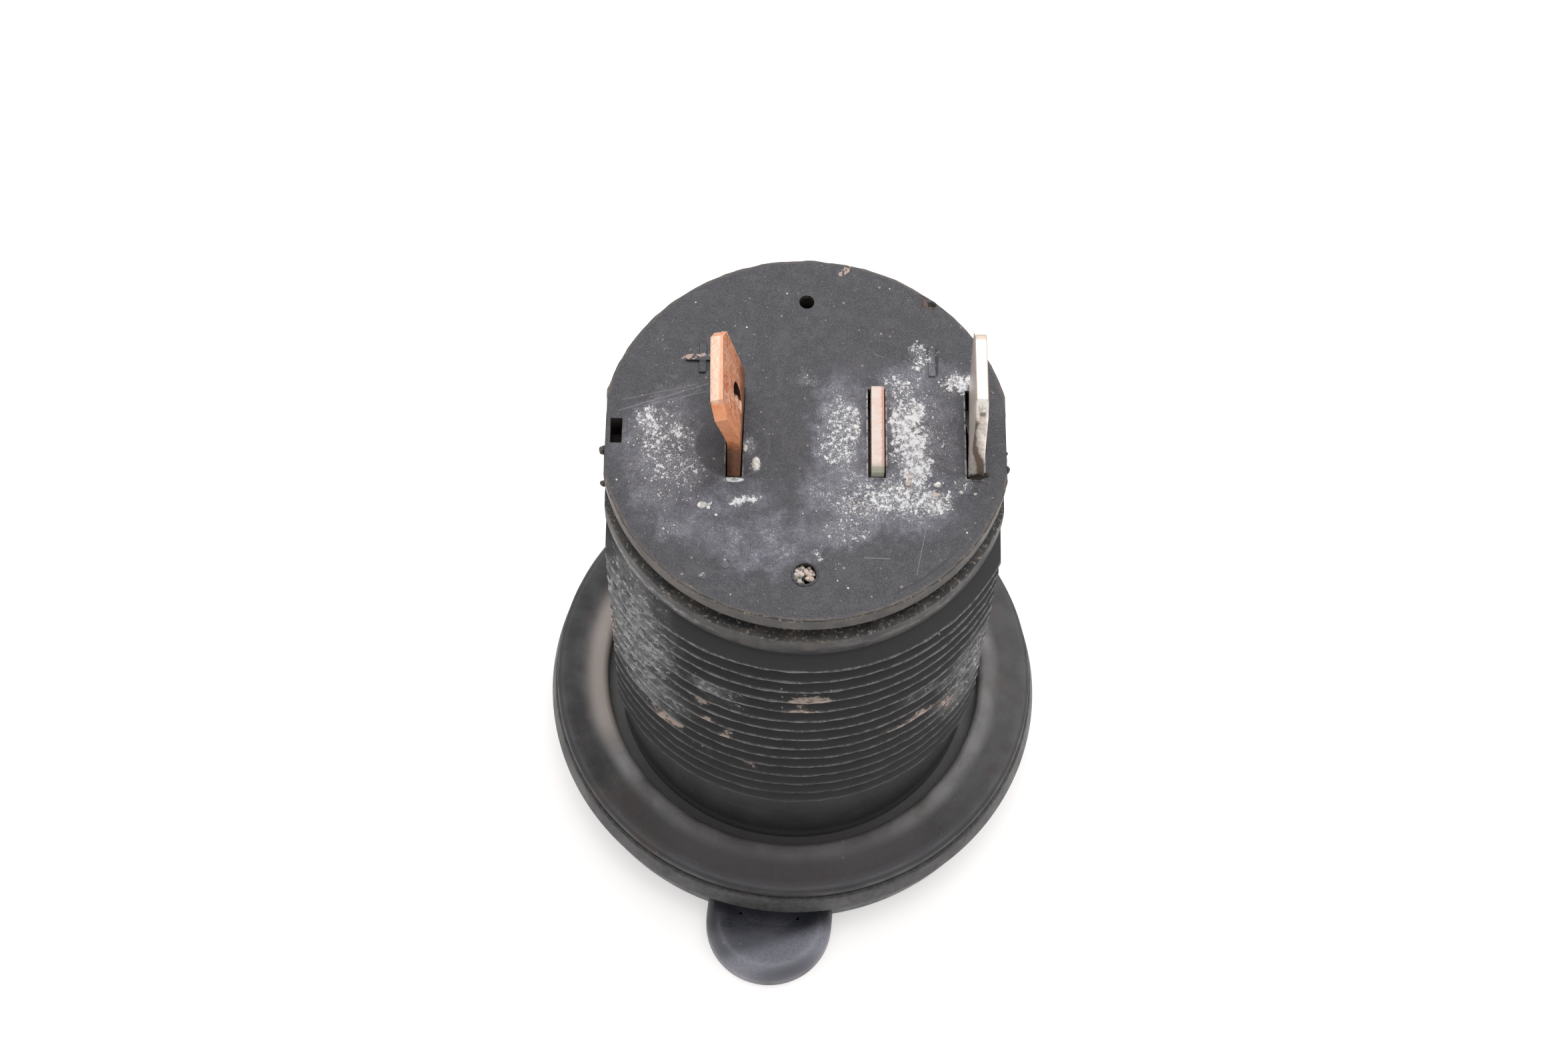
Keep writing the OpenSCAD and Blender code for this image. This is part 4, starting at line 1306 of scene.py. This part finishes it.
# %% Copper strap
SHEET = 0.8
STRAP_BASE = REAR_INSIDE - SHEET / 2
LIVE_LEAN = 1.15
LIVE_BEND = 4.2
LIVE_SLANT = 0.32
LIVE_TWIST = 0.20
EYE_R = 0.85
EYE_LUMP_R = 0.76
RIVET_HOLE_R = 1.5
TIP_CUT = 0.9
LIVE_SHEAR = 0.25
EARTH_SHEAR = 0.50
STUB_TOP = REAR_Z + 0.8
STUB_CUT = 0.3


def strip(bm, path, half_width, columns=1):
    """A ribbon along (x, z) points, as wide as a blade is, centred on the blades' middle."""
    points = [(x, BLADE_Y - half_width, z) for x, z in path]
    ribbon(bm, points, (0, 2 * half_width / columns, 0), columns)


def cut_corners(bm, x_side, half_width, top, cut):
    """Cut both corners off a tip at 45 degrees, on one side of the axis."""
    for side in (1, -1):
        geom = [f for f in bm.faces if f.calc_center_median().x * x_side > 0]
        edges = {e for f in geom for e in f.edges}
        verts = {v for f in geom for v in f.verts}
        bmesh.ops.bisect_plane(
            bm,
            geom=list(verts) + list(edges) + geom,
            plane_co=(0, BLADE_Y + side * half_width, top - cut),
            plane_no=(0, side, 1),
            clear_outer=True,
        )


def lean_live(bm, rise):
    """Lean the live blade outwards above a bend that slants across its width."""
    for v in bm.verts:
        if v.co.x > 0 or v.co.z < REAR_Z:
            continue
        across = v.co.y - BLADE_Y + BLADE_HALF
        start = LIVE_BEND - LIVE_SLANT * across
        past = v.co.z - REAR_Z - start
        soft = past if past > 0.4 else max(past + 0.4, 0.0) ** 2 / 1.6
        share = soft / (rise - start)
        v.co.x -= LIVE_LEAN * share
        v.co.x += LIVE_TWIST * across / (2 * BLADE_HALF) * max(1 - share, 0.0)
        v.co.x += 0.02 * (2.6 - v.co.y) * share
        v.co.y += LIVE_SHEAR * (v.co.z - REAR_Z) / rise - 0.15


def thickened(made, thickness):
    """Give a sheet its thickness, equally to both sides."""
    step = made.modifiers.new("sheet", "SOLIDIFY")
    step.thickness = thickness
    step.offset = 0
    step.use_even_offset = True
    return evaluated(made)


def make_strap():
    bend = 0.35
    path = [(LEG_X, STUB_TOP), (LEG_X, REAR_Z), (LEG_X, STRAP_BASE + bend)]
    path += [
        (LEG_X - bend + bend * math.cos(a), STRAP_BASE + bend - bend * math.sin(a))
        for a in (math.pi / 6, math.pi / 3, math.pi / 2)
    ]
    path += [
        (-LEG_X + bend - bend * math.sin(a), STRAP_BASE + bend - bend * math.cos(a))
        for a in (0.0, math.pi / 6, math.pi / 3, math.pi / 2)
    ]
    rise = BLADE_TOP - REAR_Z - 0.09
    path += [(-LEG_X, REAR_Z + rise * i / 24) for i in range(25)]
    bm = bmesh.new()
    strip(bm, path, BLADE_HALF, columns=6)
    cut_corners(bm, -1, BLADE_HALF, REAR_Z + rise, TIP_CUT)
    cut_corners(bm, 1, BLADE_HALF, STUB_TOP, STUB_CUT)
    lean_live(bm, rise)
    return thickened(to_object(bm, "copper_strap"), SHEET)


def make_eye():
    """Cutter for the hole in the copper blade and for the rivet's hole in the base."""
    bm = bmesh.new()
    across = Matrix.Rotation(math.pi / 2, 4, "Y")
    lying = Matrix.Translation((-LEG_X - 0.3, BLADE_Y, EYE_AT[2])) @ across
    upright = Matrix.Translation((0, 0, STRAP_BASE))
    for radius, depth, place in ((EYE_R, 4, lying), (RIVET_HOLE_R, 3, upright)):
        bmesh.ops.create_cone(
            bm,
            cap_ends=True,
            segments=28,
            radius1=radius,
            radius2=radius,
            depth=depth,
            matrix=place,
        )
    return to_object(bm, "eye_cutter")


def make_eye_lump():
    """Bright lump of metal that half fills the blade's hole."""
    bm = bmesh.new()
    place = Matrix.Translation(EYE_LUMP_AT) @ Matrix.Diagonal((0.62, 0.95, 1.0, 1))
    made = bmesh.ops.create_icosphere(bm, subdivisions=3, radius=EYE_LUMP_R, matrix=place)
    for v in made["verts"]:
        v.co += 0.12 * noise.noise_vector(v.co * 2.6)
    return to_object(bm, "eye_lump")


strap = combine(make_strap(), [make_eye()], "DIFFERENCE")
finish(bevelled(strap, 0.13, 3), "socket", COPPER, "contact_strap", angle=50)
finish(make_eye_lump(), "socket", COPPER, angle=180)

# %% [markdown]
# ## Shell and its blade
# The shell is one piece of tinned sheet: a tube with a turned-out lip and two windows, and a
# blade that goes on through the rear wall. Only the blade shows from behind; the tube shows when
# the cap is open.

# %% Tinned shell
SHELL_SHEET = 0.75
SHELL_R = 10.7
EARTH_SET = 0.25
EARTH_LEAN = 0.26
WINDOW_UP = 14
WINDOW_HALF_X = 3.5
WINDOW_HALF_Z = 1.3


def make_shell():
    bm = bmesh.new()
    outer = SHELL_R + SHELL_SHEET
    turned(
        bm,
        [
            (SHELL_R, REAR_INSIDE),
            (SHELL_R, FLANGE_FRONT + 0.3),
            (SHELL_R + 0.1, FLANGE_FRONT + 0.1),
            (SHELL_R + 0.3, FLANGE_FRONT),
            (outer + 1.0, FLANGE_FRONT),
            (outer + 1.0, FLANGE_FRONT + SHELL_SHEET),
            (outer, FLANGE_FRONT + SHELL_SHEET),
            (outer, REAR_INSIDE),
        ],
        steps=128,
    )
    return to_object(bm, "tinned_shell")


def make_windows():
    bm = bmesh.new()
    half, front = WINDOW_HALF_X, -15
    low = FLANGE_FRONT + WINDOW_UP - WINDOW_HALF_Z
    high = FLANGE_FRONT + WINDOW_UP + WINDOW_HALF_Z
    outline = [(-half, front, low), (half, front, low), (half, front, high), (-half, front, high)]
    plate(bm, outline, -2 * front, (0, 1, 0))
    return to_object(bm, "window_cutter")


def make_earth_blade():
    middle = SHELL_R + SHELL_SHEET / 2
    rise = BLADE_TOP - REAR_Z
    path = [(middle, REAR_INSIDE - 1), (middle, REAR_INSIDE)]
    path += [(middle - EARTH_SET - EARTH_LEAN * i / 12, REAR_Z + rise * i / 12) for i in range(13)]
    bm = bmesh.new()
    strip(bm, path, BLADE_HALF)
    cut_corners(bm, 1, BLADE_HALF, BLADE_TOP, TIP_CUT)
    for v in bm.verts:
        v.co.y += EARTH_SHEAR * max(v.co.z - REAR_Z, 0.0) / rise
    blade = thickened(to_object(bm, "earth_blade"), SHELL_SHEET)
    # the near edge spreads towards its foot
    for v in blade.data.vertices:
        if v.co.y < -1.0 and v.co.z > REAR_Z - 1.5:
            spread = min(max(1.0 - (v.co.z - REAR_Z) / 3.2, 0.0), 1.0)
            v.co.x += spread * (-0.20 if v.co.x < middle - EARTH_SET else 0.05)
    return bevelled(blade, 0.08, 2)


shell = combine(make_shell(), [make_windows()], "DIFFERENCE")
combine(shell, [make_earth_blade()], "UNION")
finish(shell, "socket", TIN, "socket_shell", angle=50)

# %% [markdown]
# ## Rubber moulding
# On the real part the seal ring, the strap and the cap are one rubber moulding. Here the ring rides
# on the socket and the cap on its own body, and the strap is a band bent round between them. It has
# many short steps along its length, so that its bends are smooth.

# %% Seal ring
CAP_TURN = Matrix.Rotation(math.radians(-4.9), 4, "Z")
RING_IN = 14.1
RING_OUT = 18.0


def make_ring():
    bm = bmesh.new()
    soft = 0.45
    section = arc(RING_IN + soft, FLANGE_BACK + soft, soft, 270, 180)
    section += arc(RING_IN + soft, -soft, soft, 180, 90)
    section += [(RING_IN + 1.0, -0.06), (15.8, -0.13), (RING_OUT - 1.0, -0.08)]
    section += arc(RING_OUT - soft, -soft, soft, 90, 0)
    section += arc(RING_OUT - soft, FLANGE_BACK + soft, soft, 0, -90)
    verts = turned(bm, section)
    for v in verts:
        if v.co.z > -0.5:
            v.co.z += 0.05 * noise.noise(v.co * 0.35)
    return to_object(bm, "seal_ring_rubber")


finish(make_ring(), "socket", SEAL_RUBBER, "seal_ring", angle=60)

# %% [markdown]
# The cap is turned from one section: a disc with a soft edge, a shallow field in its face and a
# hollow plug with two sealing ribs. The pull tab is a plate with a round end. Its top is inset ring
# by ring and lifted or lowered each time, which gives it the soft bead round its edge.

# %% Cap
CAP_R = 17.8
PLUG_R = 10.1
PLUG_WALL = 1.6
PLUG_SOFT = 0.4
RIB = 0.3
PLUG_END = FLANGE_FRONT + 5
TAB_HALF = 4.7
TAB_TIP = 23.0
TAB_ROOT = -15.5
# how far each inset ring of the tab goes inwards and up
TAB_RINGS = [
    (0.06, 0.34),
    (0.17, 0.33),
    (0.27, 0.27),
    (0.32, 0.15),
    (0.40, 0.02),
    (0.55, -0.14),
    (0.70, -0.16),
    (0.80, -0.05),
]


def make_cap():
    bm = bmesh.new()
    soft = 0.8
    dish = 12.5
    section = [(0.0, FLOOR_Z + 0.4), (dish - 0.5, FLOOR_Z + 0.4), (dish - 0.1, FLOOR_Z + 0.1)]
    section.append((dish + 0.2, FLOOR_Z))
    section += arc(CAP_R - soft, FLOOR_Z + soft, soft, -90, 0, 6)
    section += arc(CAP_R - soft, FLANGE_FRONT - soft, soft, 0, 90, 6)
    section.append((PLUG_R, FLANGE_FRONT))
    for z in (FLANGE_FRONT + 1.25, PLUG_END - 5 / 3):
        section += arc(PLUG_R, z, RIB, -90, 90, 6)
    inside = PLUG_R - PLUG_WALL
    section += arc(PLUG_R - PLUG_SOFT, PLUG_END - PLUG_SOFT, PLUG_SOFT, 0, 90)
    section += arc(inside + PLUG_SOFT, PLUG_END - PLUG_SOFT, PLUG_SOFT, 90, 180)
    section += [(inside, FLANGE_FRONT), (0.0, FLANGE_FRONT)]
    turned(bm, section, steps=160)
    centre = -TAB_TIP + TAB_HALF
    low = FLOOR_Z + 0.02
    outline = [(TAB_HALF, TAB_ROOT, low)]
    outline += [
        (TAB_HALF * math.cos(a), centre + TAB_HALF * math.sin(a), low)
        for a in (-math.pi * i / 32 for i in range(33))
    ]
    outline.append((-TAB_HALF, TAB_ROOT, low))
    raised = set(plate(bm, outline, 0.75, (0, 0, 1)))
    bmesh.ops.recalc_face_normals(bm, faces=bm.faces)
    top = next(f for f in bm.faces if all(v in raised for v in f.verts))
    for inward, lift in TAB_RINGS:
        bmesh.ops.inset_region(bm, faces=[top], thickness=inward, depth=lift, use_even_offset=True)
    return to_object(bm, "cap_rubber_disc")


cap = make_cap()
cap.data.transform(CAP_TURN)
finish(cap, "cap", CAP_RUBBER, "cap", angle=50)

# %% Strap
STRAP_HALF = 4.5
STRAP_T = 1.2
STRAP_Y = 19.0 + STRAP_T / 2
STRAP_LOW = FLOOR_Z + 0.8 + STRAP_T / 2
STRAP_HIGH = FLANGE_BACK + STRAP_T / 2


def make_band():
    """Band from the ring's edge out, down past the flange and in to the cap's edge."""
    bend = 0.9
    path = [(17.2, STRAP_HIGH)]
    path += [
        (STRAP_Y - bend + bend * math.sin(a), STRAP_HIGH - bend + bend * math.cos(a))
        for a in (math.pi / 2 * i / 6 for i in range(7))
    ]
    steps = 16
    top, low = STRAP_HIGH - bend, STRAP_LOW + bend
    path += [(STRAP_Y, top + (low - top) * i / steps) for i in range(1, steps)]
    path += [
        (STRAP_Y - bend + bend * math.cos(a), STRAP_LOW + bend - bend * math.sin(a))
        for a in (math.pi / 2 * i / 6 for i in range(7))
    ]
    path.append((17.0, STRAP_LOW))
    bm = bmesh.new()
    ribbon(bm, [(-STRAP_HALF, y, z) for y, z in path], (STRAP_HALF / 3, 0, 0), 6)
    band = thickened(to_object(bm, "rubber_strap"), STRAP_T)
    return bevelled(band, 0.25, 3, angle=50)


band = make_band()
band.data.transform(CAP_TURN)
finish(band, None, SEAL_RUBBER, angle=50)
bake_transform(band)

# %% [markdown]
# ## Residue crumbs
# Where the crust is thickest it breaks into crumbs that throw tiny shadows. Each crumb is a small
# rough lump. They are scattered inside a few oval fields with a fixed seed, so every run gives the
# same ones. Larger lumps of residue and dirt are placed one by one.

# %% Crumbs on the rear face
# centre x, centre y, half size x, half size y, count, smallest, largest
CRUMB_FIELDS = [
    (-9.2, 0.2, 2.2, 2.2, 110, 0.03, 0.11),
    (-8.2, -3.2, 2.2, 2.2, 70, 0.03, 0.10),
    (7.0, 0.4, 1.1, 3.6, 120, 0.03, 0.11),
    (5.6, -4.7, 3.4, 1.4, 150, 0.03, 0.11),
    (8.0, -4.4, 1.6, 1.1, 40, 0.03, 0.11),
    (9.6, 3.9, 1.1, 0.6, 26, 0.04, 0.12),
    (7.2, 5.6, 0.6, 1.5, 26, 0.03, 0.09),
    (-3.9, -4.75, 1.1, 0.3, 30, 0.03, 0.10),
    (2.6, -6.0, 2.0, 1.8, 90, 0.02, 0.06),
    (8.4, 0.4, 1.3, 3.6, 170, 0.02, 0.06),
    (0.0, 0.0, 12.2, 12.2, 110, 0.02, 0.05),
]
# x, y, half length along x and y, height, tint: 0 is white, 1 is tan, 2 is dark dirt
LUMPS = [
    (-3.15, -2.2, 0.22, 0.42, 0.20, 0.25),
    (-3.85, -1.1, 0.16, 0.26, 0.16, 0.35),
    (-6.45, -5.2, 0.30, 0.20, 0.14, 0.20),
    (-5.6, -5.9, 0.10, 0.08, 0.08, 0.0),
    (8.3, -3.5, 0.26, 0.18, 0.18, 0.0),
    (8.2, -4.2, 0.24, 0.16, 0.14, 0.8),
    (9.8, -4.0, 0.13, 0.10, 0.10, 0.1),
    (10.7, -4.1, 0.11, 0.09, 0.09, 0.3),
    (6.5, -3.2, 0.16, 0.42, 0.07, 1.0),
    (3.2, 0.6, 0.20, 0.18, 0.08, 0.1),
    (10.55, -2.95, 0.30, 0.16, 0.16, 2.0),
    (10.95, -2.90, 0.34, 0.18, 0.20, 2.0),
    (11.35, -2.75, 0.24, 0.16, 0.14, 2.0),
    (8.1, 9.9, 0.34, 0.22, 0.10, 2.0),
]
DIRT_COUNT = 34
DIRT_R = 0.6


def clear_of_openings(x, y):
    """True where a crumb would lie on plain plastic."""
    if math.hypot(x, y) > 12.6 or abs(x) > 12.2:
        return False
    # the three slots
    for low, high in ((-5.3, -3.8), (3.8, 5.3), (9.9, 11.8)):
        if low < x < high and abs(y - BLADE_Y) < 3.5:
            return False
    return abs(abs(y) - HOLE_Y) + abs(x) > 1.3


def lump(bm, place, size, squat, tint, tint_layer, detail):
    """One rough lump of residue with its tint."""
    made = bmesh.ops.create_icosphere(bm, subdivisions=detail, radius=size, matrix=place @ squat)
    for v in made["verts"]:
        v.co += 0.35 * size * noise.noise_vector(v.co * 1.3 / size)
        v[tint_layer] = tint


def make_crumbs():
    bm = bmesh.new()
    tint_layer = bm.verts.layers.float.new("tint")
    draw = random.Random(5)
    for x0, y0, half_x, half_y, count, small, large in CRUMB_FIELDS:
        for _ in range(count):
            reach, turn_at = math.sqrt(draw.random()), draw.random() * math.tau
            x = x0 + half_x * reach * math.cos(turn_at)
            y = y0 + half_y * reach * math.sin(turn_at)
            size = small + (large - small) * draw.random() ** 3
            squat = Matrix.Diagonal((1, draw.uniform(0.6, 1.0), draw.uniform(0.4, 0.8), 1))
            tint = draw.random() ** 3
            if clear_of_openings(x, y):
                place = Matrix.Translation((x, y, REAR_Z)) @ Matrix.Rotation(turn_at, 4, "Z")
                lump(bm, place, size, squat, tint, tint_layer, 1)
    # dry dirt packed into the front hole
    for _ in range(DIRT_COUNT):
        reach, turn_at = DIRT_R * math.sqrt(draw.random()), draw.random() * math.tau
        x, y = reach * math.cos(turn_at), -HOLE_Y + reach * math.sin(turn_at)
        at = (x, y, REAR_Z - 0.45 + 0.25 * draw.random())
        tint = draw.choice((0.2, 0.7, 0.9, 1.0, 1.5, 1.9))
        lump(bm, Matrix.Translation(at), draw.uniform(0.10, 0.22), Matrix(), tint, tint_layer, 2)
    for x, y, long_x, long_y, high, tint in LUMPS:
        size = max(long_x, long_y)
        place = Matrix.Translation((x, y, REAR_Z))
        squat = Matrix.Diagonal((long_x / size, long_y / size, high / size, 1))
        lump(bm, place, size, squat, tint, tint_layer, 3)
    return to_object(bm, "residue_crumbs")


finish(make_crumbs(), "socket", CRUMBS, angle=180)

# %% [markdown]
# The contact cup and its rivet are the solids themselves. They only need their finish.

# %% Inner contact
for name in ("contact_cup", "contact_rivet"):
    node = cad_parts[name]
    node.data.materials.clear()
    node.data.materials.append(TIN if name == "contact_cup" else COPPER)
    print("dressed", name)

# %% [markdown]
# ## Floor and light
# The photograph has a pure white ground with a faint, warm contact shadow. The floor is a pale
# diffuse sheet that also glows a little for the camera, so that it comes out white while its
# shadow stays. The light is a white surround and one large soft lamp above and behind.

# %% Floor
FLOOR_HALF = 1.5
floor_mesh = bmesh.new()
floor_place = Matrix.Translation((0, 0, FLOOR_Z * MM))
bmesh.ops.create_grid(floor_mesh, x_segments=1, y_segments=1, size=FLOOR_HALF, matrix=floor_place)
floor_data = bpy.data.meshes.new("floor")
floor_mesh.to_mesh(floor_data)
floor_mesh.free()
floor = bpy.data.objects.new("floor", floor_data)
bpy.context.collection.objects.link(floor)


def floor_material():
    material, g = empty_material("white_ground")
    sheet = g.node("ShaderNodeBsdfDiffuse", {"Color": rgb(0.80, 0.77, 0.755)})
    glow = g.node("ShaderNodeEmission", {"Color": rgb(1, 1, 1), "Strength": 0.42})
    path = g.node("ShaderNodeLightPath").outputs
    seen = g.larger(path["Is Camera Ray"], path["Is Glossy Ray"])
    seen = g.larger(seen, path["Is Transmission Ray"])
    both = g.node("ShaderNodeAddShader", {0: sheet.outputs[0], 1: glow.outputs[0]})
    pick = g.node("ShaderNodeMixShader", {0: seen, 1: sheet.outputs[0], 2: both.outputs[0]})
    g.node("ShaderNodeOutputMaterial", {"Surface": pick.outputs[0]})
    return material


floor.data.materials.append(floor_material())

# %% Lights
world = bpy.data.worlds.new("white_room")
world.use_nodes = True
bpy.context.scene.world = world
room = Graph(world.node_tree)
seen = room.node("ShaderNodeLightPath").outputs["Is Camera Ray"]
strength = room.plus(0.70, room.times(seen, 0.30))
background = world.node_tree.nodes["Background"]
room.feed(background, {"Color": rgb(1.0, 1.0, 1.0), "Strength": strength})

lamp_data = bpy.data.lights.new("soft_box", "AREA")
lamp_data.shape = "RECTANGLE"
lamp_data.size = 1.4
lamp_data.size_y = 1.2
lamp_data.energy = 6.9
lamp = bpy.data.objects.new("soft_box", lamp_data)
LAMP_AT = Vector((0.12, 0.35, 0.75))
aim = LAMP_AT.to_track_quat("Z", "Y").to_matrix()
lamp.matrix_world = Matrix.Translation(LAMP_AT) @ aim.to_4x4()
bpy.context.collection.objects.link(lamp)

bpy.context.scene.view_settings.view_transform = "Standard"

# %% Last update of the scene
bpy.context.view_layer.update()
